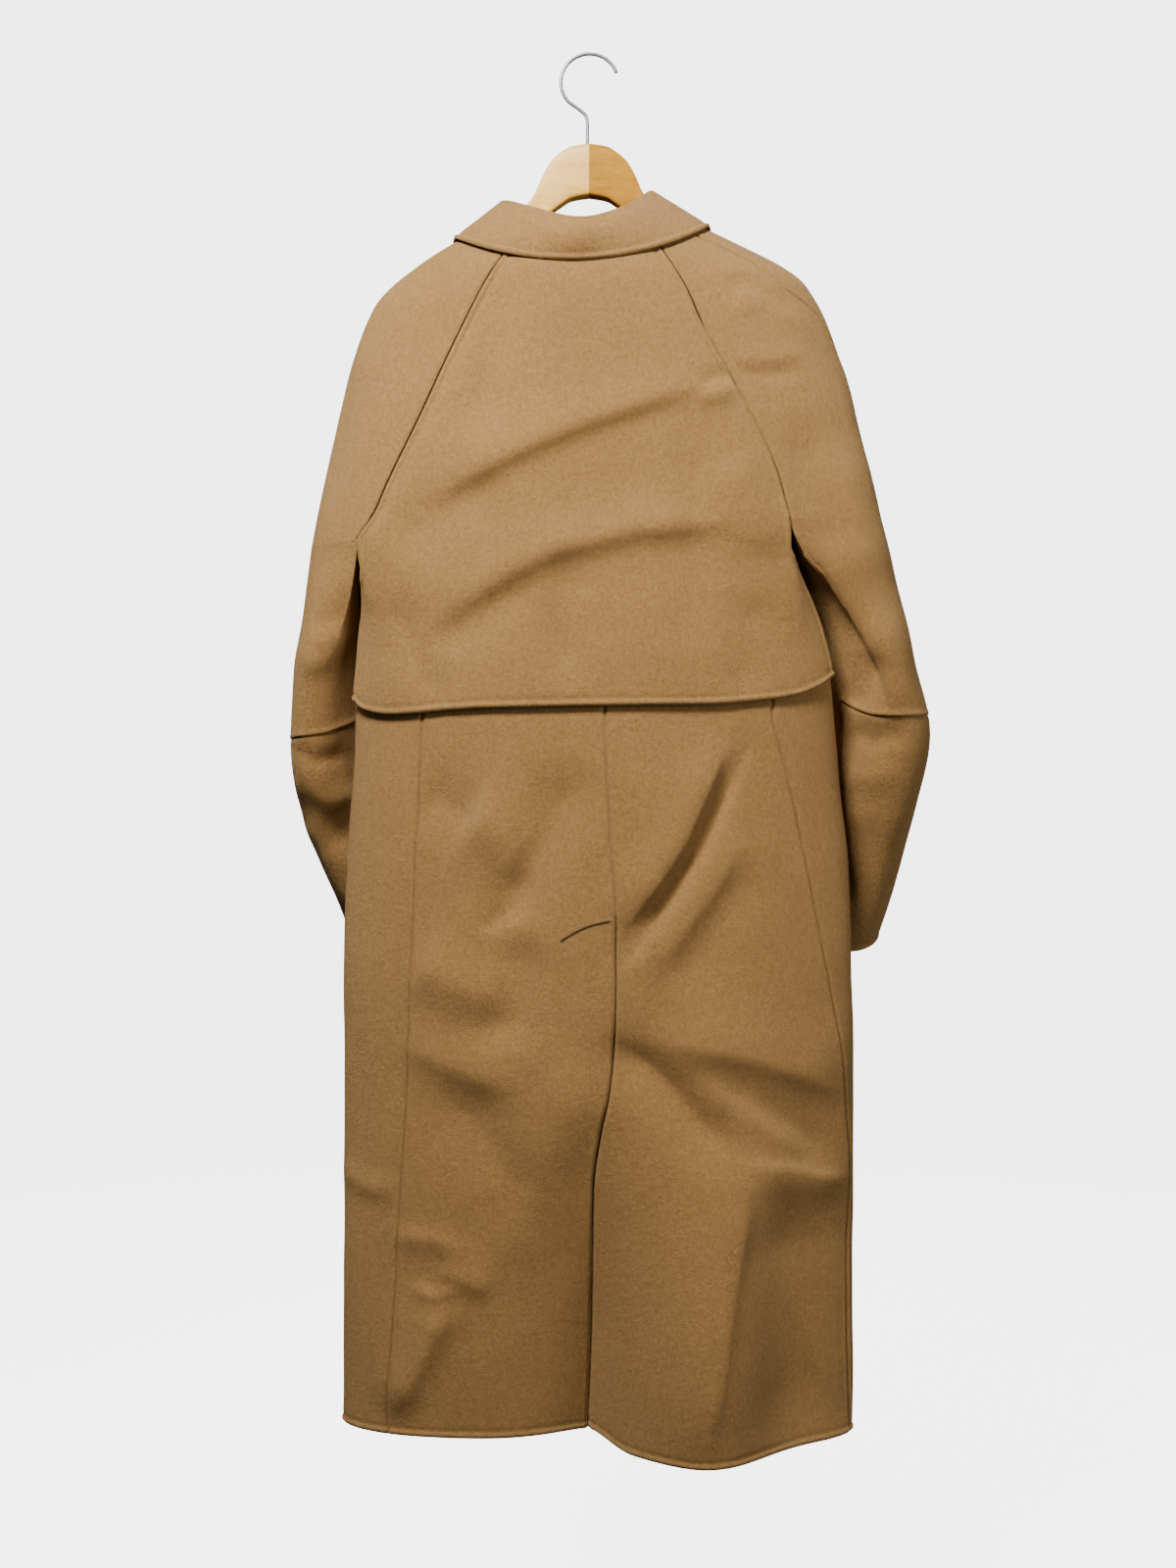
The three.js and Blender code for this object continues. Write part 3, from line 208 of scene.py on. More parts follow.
# Hook: a single polished steel wire 3.4 mm thick, bent over the rail, back to the middle
# and down into a hole in the top of the bar, where it is held.
def polished_steel():
    material, tree, shader, add = blank_material("polished_steel")
    place = add("TexCoord").outputs["Object"]
    drawn = add("Mapping", {"Vector": place, "Scale": (220, 220, 24)}).outputs["Vector"]
    lines = add("TexNoise", {"Vector": drawn, "Scale": 1.4, "Detail": 3})
    shine = add("MapRange", {"Value": lines.outputs["Fac"], "To Min": 0.32, "To Max": 0.38})
    tree.links.new(shine.outputs["Result"], shader.inputs["Roughness"])
    tone = color_ramp(add, lines.outputs["Fac"], [(0.3, (0.25, 0.25, 0.26)),
                                                  (0.7, (0.29, 0.29, 0.30))])
    tree.links.new(tone, shader.inputs["Base Color"])
    shader.inputs["Metallic"].default_value = 0.55
    return material


def wire(name, path, radius, sides, material, replaced):
    """A round wire along a path in the plane of the hanger, its ends rounded off."""
    path = np.asarray(path, float)
    run = np.gradient(path, axis=0)
    run /= np.linalg.norm(run, axis=1)[:, None]
    side = np.array([0, 1.0, 0])
    up = np.cross(run, side)
    turn = np.linspace(0, 2 * np.pi, sides, endpoint=False)
    radii = np.full(len(path), radius)
    radii[0] = radii[-1] = radius * 0.55
    radii[1] = radii[-2] = radius * 0.9
    rings = [p + r * (np.cos(turn)[:, None] * side + np.sin(turn)[:, None] * u)
             for p, r, u in zip(path, radii, up)]
    return piece(name, np.concatenate(rings), ring_faces(len(path), sides), material,
                 replaced)


WIRE_RADIUS = 1.7
HOOK_RADIUS = 27.7
bend = np.radians(np.concatenate([[19.2, 20], np.linspace(21.5, 222, 70)]))
loop = np.stack([0.5 + HOOK_RADIUS * np.cos(bend), 0 * bend,
                 WIRE_RADIUS - HOOK_RADIUS + HOOK_RADIUS * np.sin(bend)], axis=-1)
stem_x = smooth_curve([-86.7, -67, -59.5, -54.5, -49.5, -44.6], [-1.5, -1.5, -2.4, -6.5, -13.3,
                                                                 -20.1])
stem_z = np.concatenate([np.linspace(-45.6, -66, 24), np.linspace(-68, -85.4, 9), [-86, -86.6]])
stem = np.stack([stem_x(stem_z), 0 * stem_z, stem_z], axis=-1)
wire("hook_wire", np.concatenate([loop, stem]), WIRE_RADIUS, 20, polished_steel(),
     ["hanger_hook"])


# Cloth of the coat: camel wool woven double, fulled and brushed, so a short nap that lies
# downward covers the weave. Every cut edge is turned in and felled by hand.
def camel_wool():
    material, tree, shader, add = blank_material("camel_wool")
    place = add("TexCoord").outputs["Object"]
    nap_place = add("Mapping", {"Vector": place, "Scale": (1, 1, 0.8)}).outputs["Vector"]
    felt = add("TexNoise", {"Vector": nap_place, "Scale": 300, "Detail": 4, "Roughness": 0.62,
                            "Distortion": 0.5})
    fibre = add("TexNoise", {"Vector": nap_place, "Scale": 1500, "Detail": 3,
                             "Roughness": 0.7})
    cloud = add("TexNoise", {"Vector": place, "Scale": 9, "Detail": 3, "Roughness": 0.5})
    tone = color_ramp(add, felt.outputs["Fac"], [
        (0.28, (0.275, 0.150, 0.047)), (0.5, (0.342, 0.190, 0.062)),
        (0.72, (0.410, 0.234, 0.079))])
    hair = color_ramp(add, fibre.outputs["Fac"], [(0.3, (0.93, 0.92, 0.91)), (0.62, (1, 1, 1))])
    patch = color_ramp(add, cloud.outputs["Fac"], [(0.35, (0.93, 0.92, 0.90)),
                                                   (0.65, (1, 1, 1))])
    fine = add("Mix", {0: 0.8, 6: tone, 7: hair}, data_type="RGBA", blend_type="MULTIPLY")
    full = add("Mix", {0: 1.0, 6: fine.outputs[2], 7: patch}, data_type="RGBA",
               blend_type="MULTIPLY")
    tree.links.new(full.outputs[2], shader.inputs["Base Color"])
    rough = add("MapRange", {"Value": fibre.outputs["Fac"], "To Min": 0.82, "To Max": 1.0})
    tree.links.new(rough.outputs["Result"], shader.inputs["Roughness"])
    height = add("Math", {0: felt.outputs["Fac"], 1: fibre.outputs["Fac"]}, operation="ADD")
    bump = add("Bump", {"Height": height.outputs["Value"], "Strength": 0.85,
                        "Distance": 0.0016})
    tree.links.new(bump.outputs["Normal"], shader.inputs["Normal"])
    shader.inputs["Sheen Weight"].default_value = 0.22
    shader.inputs["Sheen Roughness"].default_value = 0.45
    shader.inputs["Sheen Tint"].default_value = (0.95, 0.72, 0.44, 1)
    shader.inputs["Specular IOR Level"].default_value = 0.18
    return material


wool = camel_wool()


# Form of the coat on its hanger: rings round the shoulders, widest where the sleeve heads
# hang, and below the armpit rings of the body alone. Both are worn soft by their own weight.
NECK, ARMPIT, VENT_TOP, CAPE_HEM, HEM, CUFF = -159, -467, -834, -634, -1317, -865
CLOTH = 2.0
SEAM_GAP = 0.04
LAYER = 2.8
left_outline = smooth_curve(
    [-163, -172, -180.5, -193, -210, -225, -241.5, -262, -285, -340, -405, -479],
    [-98, -113, -127, -148, -172, -191, -206, -216, -224, -240, -254, -268.5])
right_outline = smooth_curve(
    [-155, -164.3, -175.5, -191, -203.5, -220, -234, -255, -283, -317.5, -354, -428, -456],
    [85, 104, 128, 160, 184, 207, 217, 228, 238, 250, 259, 278, 284])
ring_back, ring_front, ring_back_drop, ring_front_drop, ring_power = columns([
    # level, depth behind, depth in front, how much lower behind, and in front, squareness
    [-159, 58, 58, 48, 76, 2.0], [-190, 62, 61, 38, 64, 2.0], [-240, 64, 63, 27, 44, 2.1],
    [-320, 67, 65, 11, 18, 2.3], [-400, 70, 66, 3, 5, 2.5], [-467, 73, 66, 0, 0, 2.6]])
body_left, body_right, body_back, body_front, body_power = columns([
    # level, left, right, depth behind, depth in front, squareness
    [-467, -217.4, 185.8, 73, 66, 2.6], [-494, -218.5, 192, 75, 66, 2.6],
    [-518, -219.5, 204, 76, 66, 2.6], [-540, -220.5, 216, 77, 66, 2.5],
    [-564, -222, 225, 77, 66, 2.5], [-590, -223, 231, 78, 66, 2.4],
    [-640, -225, 236.5, 78, 66, 2.3], [-700, -228, 242, 78, 66, 2.2],
    [-785, -234, 251, 78, 66, 2.1], [-863, -237, 254, 78, 67, 2.1],
    [-1027, -237, 256, 77, 68, 2.0], [-1181, -237.5, 255.5, 75, 69, 2.0],
    [-1317, -239, 255.5, 73, 70, 2.0]])
side_strip = smooth_curve([-467, -640, -800, -920, -1317], [35, 35, 20, 9, 6])
raglan_seams = [
    smooth_curve([-190, -236, -277, -353, -426, -452, -478],
                 [-70, -100, -120, -155, -190.5, -202, -219]),
    smooth_curve([-182, -236, -273, -355, -413, -457], [56, 89, 105, 149, 176, 187]),
    smooth_curve([-195, -290, -385, -457], [52, 110, 160, 187]),
    smooth_curve([-200, -290, -390, -478], [-66, -118, -175, -219])]
SHOULDER_TILT = 0.044
TILT_END = -640
OUTLINE_START = (-98.0, 85.0)
DROP_POWER = 1.6
BODY_SETTLE = 120
NUDGE = 0.004


def ease(t):
    t = np.clip(t, 0, 1)
    return t * t * (3 - 2 * t)


def mix(a, b, t):
    return a + (b - a) * t


def solve(measure, low, high):
    """Where a steadily rising or falling measure is zero between low and high."""
    low = np.asarray(low, float)
    high = np.asarray(high, float)
    rising = measure(high) > measure(low)
    for _ in range(30):
        middle = (low + high) / 2
        beyond = (measure(middle) > 0) == rising
        high = np.where(beyond, middle, high)
        low = np.where(beyond, low, middle)
    return (low + high) / 2


def tilt_at(level):
    return SHOULDER_TILT * (1 - ease((ARMPIT - level) / (ARMPIT - TILT_END)))


def shoulder_point(level, angle):
    """A point of the ring round back, sleeve heads and front; angle 0 is the right."""
    level, angle = np.broadcast_arrays(np.asarray(level, float), np.asarray(angle, float))
    tilt = tilt_at(level)
    left, right = OUTLINE_START
    for _ in range(6):
        left = left_outline(level + tilt * left)
        right = right_outline(level + tilt * right)
    c, s = np.cos(angle), np.sin(angle)
    power = 2 / ring_power(level)
    depth = np.where(s < 0, ring_back(level), ring_front(level))
    drop = np.where(s < 0, ring_back_drop(level), ring_front_drop(level))
    x = (left + right) / 2 + (right - left) / 2 * np.sign(c) * np.abs(c) ** power
    y = depth * np.sign(s) * np.abs(s) ** power
    return np.stack([x, y, level + tilt * x - drop * np.abs(s) ** DROP_POWER], axis=-1)


ring_levels = np.arange(ARMPIT, NECK + 0.5, 1.0)


def seam_angles(seam, start, stop):
    def beside(angle):
        p = shoulder_point(ring_levels, angle)
        return p[..., 0] - seam(p[..., 2])

    return solve(beside, np.full(len(ring_levels), start), np.full(len(ring_levels), stop))


raglan_angles = [seam_angles(seam, start, stop) for seam, start, stop in zip(
    raglan_seams, [-np.pi, -np.pi / 2, 0, np.pi / 2], [-np.pi / 2, 0, np.pi / 2, np.pi])]


def raglan_marks(level):
    return [np.interp(level, ring_levels, angles) for angles in raglan_angles]


def ring_angle(quarter, marks):
    """Quarters 0-1 are the back from left to right, 1-2 the right side, 2-3 the front,
    3-4 (or -1 to 0) the left side."""
    q = np.where(quarter < 0, quarter + 4, quarter)
    corners = [*marks, marks[0] + 2 * np.pi]
    angle = 0.0
    for i in range(4):
        angle = np.where(q >= i, mix(corners[i], corners[i + 1], q - i), angle)
    return angle


def hem_drop(x, level):
    """The hem hangs lower right of the vent than left of it."""
    return ease((-1150 - level) / 167) * mix(4, 13, ease(x / 40))


def coat_point(quarter, level):
    """A point of the coat's body before its folds."""
    quarter, level = np.broadcast_arrays(np.asarray(quarter, float), np.asarray(level, float))
    high = np.maximum(level, ARMPIT)
    upper = shoulder_point(high, ring_angle(quarter, raglan_marks(high)))
    marks = raglan_marks(ARMPIT)

    def corner(k):
        return shoulder_point(ARMPIT, ring_angle(np.asarray(k, float), marks))

    q = np.where(quarter < 0, quarter + 4, quarter)
    strip_right = mix(corner(1), corner(2), (q - 1)[..., None])
    strip_left = mix(corner(3), corner(4), (q - 3)[..., None])
    cut = np.where(((q > 1) & (q < 2))[..., None], strip_right, corner(q))
    cut = np.where((q > 3)[..., None], strip_left, cut)
    share = (cut[..., 0] - corner(0)[0]) / (corner(1)[0] - corner(0)[0])
    strip = np.radians(side_strip(level))
    angle = ring_angle(quarter, [strip - np.pi, -strip, strip, np.pi - strip])
    left, right = body_left(level), body_right(level)
    c, s = np.cos(angle), np.sin(angle)
    power = 2 / body_power(level)
    depth = np.where(s < 0, body_back(level), body_front(level))
    settled = ease((ARMPIT - level) / BODY_SETTLE)
    round_x = (left + right) / 2 + (right - left) / 2 * np.sign(c) * np.abs(c) ** power
    x = mix(mix(left, right, share), round_x, settled)
    y = mix(cut[..., 1], depth * np.sign(s) * np.abs(s) ** power, settled)
    lower = np.stack([x, y, level + tilt_at(level) * x - hem_drop(x, level)], axis=-1)
    return np.where((level >= ARMPIT)[..., None], upper, lower)


# Folds of the coat: drag lines that the hanger pulls into the cape, pressed creases and
# flutes in the skirt of the coat, and the two sides of the vent falling inward.
centre_back = smooth_curve(
    [-200, -636, -753, -834, -911, -962, -999, -1027, -1087, -1217, -1330],
    [-6, 14, 20, 24.5, 23.9, 22.3, 17.6, 11.2, 3.1, 1.2, -3])
back_creases = [
    # width above the line, width below it, height, points x, z
    # drag lines of the cape, from the right raglan seam down to the left
    (26, 10, 6.2, [(134, -322), (68, -345), (-8, -371), (-62, -394), (-108, -417), (-172, -448)]),
    (28, 34, -5.0, [(-70, -424), (-122, -446), (-160, -470), (-186, -500)]),
    (26, 12, 6.6, [(168, -476), (120, -463), (45, -470), (-32, -488), (-68, -506), (-108, -531),
                   (-172, -574)]),
    (22, 30, -4.0, [(-40, -512), (-92, -542), (-150, -584)]),
    (22, 24, -5.0, [(-76, -206), (-88, -270), (-96, -330), (-102, -396)]),
    (20, 22, -3.6, [(97, -340), (99, -440), (96, -612)]),
    (22, 22, -5.0, [(-18, -478), (-22, -540), (-20, -626)]),
    (24, 24, -4.0, [(156, -520), (148, -580), (142, -636)]),
    (24, 22, 3.6, [(120, -400), (148, -440), (166, -500)]),
    (26, 14, -3.0, [(-190, -520), (-150, -610), (-120, -640)]),
    # pinch beside the right raglan seam
    (9, 8, 3.0, [(98, -352), (118, -342), (140, -336)]),
    (8, 8, -2.4, [(100, -336), (118, -326), (138, -322)]),
    # pull from the side seam to the top of the vent
    (26, 8, 7.5, [(132, -656), (108, -716), (88, -762), (58, -806), (22, -850)]),
    (18, 7, -7.5, [(154, -656), (126, -718), (105, -764), (76, -812), (40, -862), (16, -892)]),
    (20, 12, 4.4, [(146, -750), (116, -802), (80, -852), (50, -896)]),
    (24, 24, -3.6, [(160, -770), (134, -820), (100, -872), (76, -906)]),
    # folds across the right panel, and the pressed line under them
    (44, 17, 7.0, [(46, -936), (100, -950), (150, -960), (200, -978), (256, -1008)]),
    (15, 28, -9.0, [(4, -938), (57, -970), (80, -992), (104, -1022), (146, -1062)]),
    (15, 14, 4.0, [(90, -976), (130, -1004), (168, -1030), (216, -1062)]),
    (18, 22, -5.0, [(94, -974), (152, -1006), (206, -1040), (246, -1070)]),
    (34, 46, 5.5, [(150, -1020), (140, -1107), (126, -1170), (115, -1239), (92, -1356)]),
    (70, 46, -9.0, [(184, -1060), (192, -1120), (198, -1200), (204, -1360)]),
    (26, 8, 3.6, [(148, -1044), (140, -1107), (126, -1170), (115, -1239), (94, -1346)]),
    (7, 26, 4.5, [(132, -1058), (182, -1067), (220, -1078), (256, -1086)]),
    (20, 24, 3.4, [(176, -1130), (206, -1220), (244, -1320)]),
    # slack of the left panel
    (28, 26, -6.0, [(4, -680), (-32, -730), (-54, -766), (-70, -806), (-102, -850)]),
    (13, 10, -3.6, [(-56, -782), (-72, -822), (-106, -848)]),
    (34, 34, 5.5, [(-122, -734), (-85, -752), (-48, -778)]),
    (24, 22, -3.6, [(-160, -712), (-130, -727), (-100, -740)]),
    (34, 30, 7.0, [(-176, -870), (-115, -897), (-62, -912)]),
    (30, 30, -6.0, [(-56, -840), (-70, -872), (-86, -930), (-84, -962)]),
    (26, 16, 3.8, [(-186, -944), (-132, -968), (-58, -996)]),
    (30, 42, -7.0, [(-166, -992), (-110, -1020), (-72, -1080), (-62, -1150)]),
    (40, 34, 6.5, [(10, -950), (-20, -1020), (-50, -1090), (-100, -1144)]),
    (9, 14, 2.6, [(-192, -1140), (-168, -1132), (-142, -1134), (-112, -1150)]),
    (18, 12, 3.6, [(-146, -1160), (-119, -1170), (-88, -1182)]),
    (7, 8, 2.6, [(-172, -1178), (-146, -1186), (-116, -1178)]),
    (24, 13, 8.0, [(-122, -1180), (-140, -1214), (-159, -1254), (-190, -1312)]),
    (12, 9, 2.8, [(-240, -1066), (-220, -1086), (-200, -1090), (-180, -1078)]),
]
back_flutes = [(108, -880, 62, 40), (-120, -960, 70, -4)]
CREASE_RELIEF = 1.3
CREASE_POWER = 1.7
CREASE_END = 0.3
FACING_GAIN = 1.6
front_creases = [
    # the hidden front, creased in the same way
    (24, 10, 5.0, [(-150, -290), (-96, -330), (-30, -352)]),
    (26, 12, 5.5, [(160, -480), (108, -452), (40, -446), (-20, -462)]),
    (22, 26, -4.0, [(-100, -420), (-130, -500), (-128, -600)]),
    (24, 9, 6.5, [(190, -660), (140, -724), (100, -810), (70, -890)]),
    (24, 28, -5.0, [(-60, -620), (-80, -740), (-64, -880)]),
    (36, 16, 7.0, [(-200, -900), (-130, -930), (-60, -940), (0, -972)]),
    (30, 10, 7.0, [(150, -1010), (138, -1120), (120, -1300)]),
    (34, 40, -6.0, [(-130, -1010), (-120, -1140), (-140, -1290)]),
    (18, 12, 4.0, [(-30, -1150), (10, -1166), (60, -1160)]),
]
front_flutes = [(120, -760, 48, 12), (-60, -820, 52, -10), (-150, -900, 44, 12)]


def crease_height(creases, x, z):
    """How far creases raise or sink the cloth at a place, fading out at their ends."""
    total = np.zeros(np.shape(x))
    for above, below, height, line in creases:
        line = np.asarray(line, float)
        lengths = np.linalg.norm(np.diff(line, axis=0), axis=1)
        reached = np.concatenate([[0], np.cumsum(lengths)]) / lengths.sum()
        nearest = np.full(np.shape(x), 1e9)
        share = np.zeros(np.shape(x))
        side = np.zeros(np.shape(x))
        for k in range(len(lengths)):
            (x0, z0), (dx, dz) = line[k], line[k + 1] - line[k]
            t = np.clip(((x - x0) * dx + (z - z0) * dz) / lengths[k] ** 2, 0, 1)
            away = np.hypot(x - x0 - t * dx, z - z0 - t * dz)
            closer = away < nearest
            nearest = np.where(closer, away, nearest)
            share = np.where(closer, mix(reached[k], reached[k + 1], t), share)
            turned = ((z - z0) * dx - (x - x0) * dz) * (1 if dx > 0 else -1) / lengths[k]
            side = np.where(closer, turned, side)
        width = mix(below, above, ease(0.5 + side / 10))
        fade = ease(share / CREASE_END) * ease((1 - share) / CREASE_END)
        total += height * fade * np.exp(-(nearest / width) ** CREASE_POWER)
    return total


def flute_height(flutes, x, z):
    """How far flutes, each a (centre, top, width, height), swell the cloth down to the hem."""
    total = np.zeros(np.shape(x))
    for centre, top, width, height in flutes:
        opened = ease((top - z) / (top - HEM))
        total += height * opened * np.exp(-((x - centre) / width) ** 2)
    return total


VENT_FALL_TOP = -900
VENT_FALL_DEPTH = 48


def vent_fall(x, z):
    """The back panels fall inward along the vent, over a wider strip on the left."""
    opened = ease((VENT_FALL_TOP - z) / (VENT_FALL_TOP - HEM))
    beside = x - centre_back(z)
    width = np.where(beside < 0, 62, 34)
    return -VENT_FALL_DEPTH * opened * np.exp(-np.abs(beside / width) ** 1.35)


def slack(x, z):
    """Soft unevenness of cloth that hangs, a fraction of a millimetre high."""
    return (0.5 * np.sin(x / 31 + z / 57) * np.sin(z / 43 - x / 66)
            + 0.3 * np.sin(x / 17 - z / 39 + 1.3) * np.sin(z / 21 + x / 87))


def creased(base, sense):
    """The folded form of a surface: each point moves out from the middle of its ring."""
    def surface(around, level):
        point = base(around, level)
        way = base(around + NUDGE, level) - base(around - NUDGE, level)
        facing = np.stack([way[..., 1], -way[..., 0]], axis=-1) * sense
        facing /= np.linalg.norm(facing, axis=-1)[..., None]
        x, z = point[..., 0], point[..., 2]
        behind = (CREASE_RELIEF * crease_height(back_creases, x, z)
                  + flute_height(back_flutes, x, z)
                  + vent_fall(x, z))
        ahead = (CREASE_RELIEF * crease_height(front_creases, x, z)
                 + flute_height(front_flutes, x, z))
        height = (np.clip(-facing[..., 1] * FACING_GAIN, 0, 1) * behind
                  + np.clip(facing[..., 1] * FACING_GAIN, 0, 1) * ahead
                  + slack(x, z))
        point[..., :2] += facing * height[..., None]
        return point

    return surface


coat_surface = creased(coat_point, 1)


# Cutting and sewing: a panel is a grid of places on the form, closer together along its
# edges, where the cloth rolls in to a seam or is turned under and felled.
EDGE_STEPS = np.array([0, 0.8, 1.7, 2.8, 4.0, 5.2, 6.5, 8.5, 11.5])
EDGE_PLACES = 6
CLOTH_STEP = 3.7


def sewn(d):
    """Edge at a plain seam, drawn in by its stitches."""
    return -2.3 * np.exp(-(d / 1.4) ** 2) + 0.4 * np.exp(-((d - 4.2) / 2.4) ** 2)


def felled(d):
    """Turned edge: a soft welt, and the line where its stitches pull the cloth in."""
    return (-1.1 * np.exp(-(d / 0.9) ** 2) + 0.9 * np.exp(-((d - 3.0) / 1.9) ** 2)
            - 0.8 * np.exp(-((d - 6.6) / 1.4) ** 2))


def open_edge(d):
    """An edge that only lies there."""
    return -0.8 * np.exp(-(d / 0.8) ** 2)


def steps(length, count, near_first, near_last):
    """Distances along a row of count places, closer together near its ends."""
    first = EDGE_STEPS if near_first else EDGE_STEPS[:1]
    last = EDGE_STEPS if near_last else EDGE_STEPS[:1]
    length = np.asarray(length, float)[:, None]
    fit = np.minimum(1, length / 48)
    inner = np.linspace(0, 1, count - len(first) - len(last) + 2)[1:-1]
    start = first[-1] * fit
    stop = length - last[-1] * fit
    return np.concatenate([first * fit, mix(start, stop, inner), length - last[::-1] * fit],
                          axis=1)


def run(surface, level, first, last, near_first=True, near_last=True, step=CLOTH_STEP):
    """Ways round, one row for each level, evenly spread in millimetres between two."""
    level = np.asarray(level, float)
    first = np.broadcast_to(first, level.shape)
    last = np.broadcast_to(last, level.shape)
    share = np.linspace(0, 1, 81)
    ways = mix(first[:, None], last[:, None], share)
    points = surface(ways, level[:, None])
    gone = np.linalg.norm(np.diff(points, axis=1), axis=2).cumsum(axis=1)
    gone = np.concatenate([np.zeros((len(level), 1)), gone], axis=1)
    width = gone[:, -1]
    count = int(width.max() / step) + 2
    count += EDGE_PLACES * (near_first + near_last)
    wanted = steps(width, count, near_first, near_last)
    return np.stack([np.interp(w, g, a) for w, g, a in zip(wanted, gone, ways)])


def levels_between(top, bottom, near_top=True, near_bottom=True, step=CLOTH_STEP):
    count = int((top - bottom) / step) + 2
    count += EDGE_PLACES * (near_top + near_bottom)
    return top - steps([top - bottom], count, near_top, near_bottom)[0]


def joined(*runs):
    """Runs of ways side by side, a shared place taken once."""
    return np.concatenate([runs[0], *[r[:, 1:] for r in runs[1:]]], axis=1)


def whole(grid):
    """All cells between the places of a grid."""
    return np.ones((grid.shape[0] - 1, grid.shape[1] - 1), bool)


def wall_faces(present):
    """Faces of a closed cloth wall over the cells of a grid that a panel has."""
    rows, cols = present.shape[0] + 1, present.shape[1] + 1
    number = np.arange(rows * cols).reshape(rows, cols)
    a, b, c, d = number[:-1, :-1], number[1:, :-1], number[1:, 1:], number[:-1, 1:]
    under = rows * cols
    framed = np.pad(present, 1)
    faces = [np.stack([a, b, c, d], -1)[present],
             np.stack([a, d, c, b], -1)[present] + under]
    for (first, second), other in (((a, d), framed[:-2, 1:-1]), ((c, b), framed[2:, 1:-1]),
                                   ((b, a), framed[1:-1, :-2]), ((d, c), framed[1:-1, 2:])):
        rim = present & ~other
        faces.append(np.stack([first, second, second + under, first + under], -1)[rim])
    return np.concatenate(faces)


def from_edges(points, present):
    """Distance of each place from the panel's first, last, top and bottom edge."""
    has = np.zeros(points.shape[:2], bool)
    for i in (0, 1):
        for j in (0, 1):
            has[i:has.shape[0] - 1 + i, j:has.shape[1] - 1 + j] |= present
    found = []
    for axis in (1, 0):
        gone = np.linalg.norm(np.diff(points, axis=axis), axis=2).cumsum(axis=axis)
        start = np.zeros_like(np.take(gone, [0], axis=axis))
        gone = np.concatenate([start, gone], axis=axis)
        low = np.where(has, gone, 1e9).min(axis=axis, keepdims=True)
        high = np.where(has, gone, -1e9).max(axis=axis, keepdims=True)
        found += [np.abs(gone - low), np.abs(high - gone)]
    return found


def cloth_wall(name, points, sense, lift, edges, present, replaced, flat, area, rests_on):
    """A sewn piece: its outer and inner face and its edges worked. Its cut, flat and area, is not
    used.
    """
    along = np.gradient(points, axis=1)
    down = np.gradient(points, axis=0)
    out = np.cross(along, -down) * sense
    out /= np.maximum(np.linalg.norm(out, axis=-1), 1e-9)[..., None]
    relief = np.zeros(points.shape[:2])
    rim = np.full(points.shape[:2], 1e9)
    for distance, work in zip(from_edges(points, present), edges):
        if work is not None:
            relief += work(distance)
        rim = np.minimum(rim, distance)
    inner_rim = 0.7 * np.exp(-(rim / 0.8) ** 2)
    outer = points + out * (lift + relief)[..., None]
    inner = points + out * (lift - CLOTH + inner_rim)[..., None]
    faces = wall_faces(present)
    both = np.concatenate([outer.reshape(-1, 3), inner.reshape(-1, 3)])
    used, place = np.unique(faces, return_inverse=True)
    faces = place.reshape(faces.shape)
    if sense < 0:
        faces = faces[:, ::-1]
    thing = piece(name, both[used], faces, wool, replaced)


def seam_quarter(seam, level, start, stop, shift=0.0):
    """Where a seam, or a line beside it, crosses the rings of some levels."""
    level = np.asarray(level, float)

    def beside(quarter):
        p = coat_point(quarter, level)
        return p[..., 0] - seam(p[..., 2]) - shift

    return solve(beside, np.full(level.shape, start), np.full(level.shape, stop))


def half_gap(surface, around, level):
    """Half of a seam's gap as a step along the way round."""
    level = np.asarray(level, float)
    reach = surface(around + NUDGE, level) - surface(around - NUDGE, level)
    return SEAM_GAP * NUDGE / np.linalg.norm(reach, axis=-1)


# Back of the coat: two panels joined in the centre-back seam down to the vent. There the
# right panel has an extension 50 mm wide that lies under the edge of the left one.
left_side_seam = smooth_curve([-478, -560, -642, -781, -991, -1124, -1330],
                              [-208, -178, -156.5, -163, -171, -180, -192])
right_side_seam = smooth_curve([-457, -540, -628, -711, -803, -919, -1014, -1069, -1330],
                               [187, 174, 171, 190, 210, 233, 246, 251, 253])
VENT_LAP = 50
VENT_LAYER = 4.2
LAP_STEP = 3.4
body_levels = np.concatenate([
    levels_between(NECK, ARMPIT, False, True), levels_between(ARMPIT, VENT_TOP, True, True)[1:],
    levels_between(VENT_TOP, HEM, True, True)[1:]])
BACK_CORNER = 14
vent_row = int(np.argmin(np.abs(body_levels - VENT_TOP)))


def side_seam(side, level):
    below = np.asarray(level) < ARMPIT
    if side == "left":
        return np.where(below, seam_quarter(left_side_seam, level, 0.0, 0.5), 0.0)
    return np.where(below, seam_quarter(right_side_seam, level, 0.5, 1.0), 1.0)


def corner_room(level, most):
    """Four pieces meet at the armpit, so their corners are a little rounded off there."""
    return 1 + (most - 1) * np.exp(-((np.asarray(level) - ARMPIT) / 3) ** 2)


def cape_sink(quarter, level):
    """How far the cape's edge sinks to the sleeve, where both are sewn into the raglan seam."""
    wide = coat_point(1.0, level)[..., 0] - coat_point(0.0, level)[..., 0]
    beside = np.minimum(quarter, 1 - quarter) * wide
    deep = np.exp(-(beside / 18) ** 2) * ease((level - ARMPIT) / 30)
    return np.where(level > ARMPIT, deep, 0)


centre_quarter = seam_quarter(centre_back, body_levels, 0.2, 0.8)
left_quarter = side_seam("left", body_levels)
right_quarter = side_seam("right", body_levels)

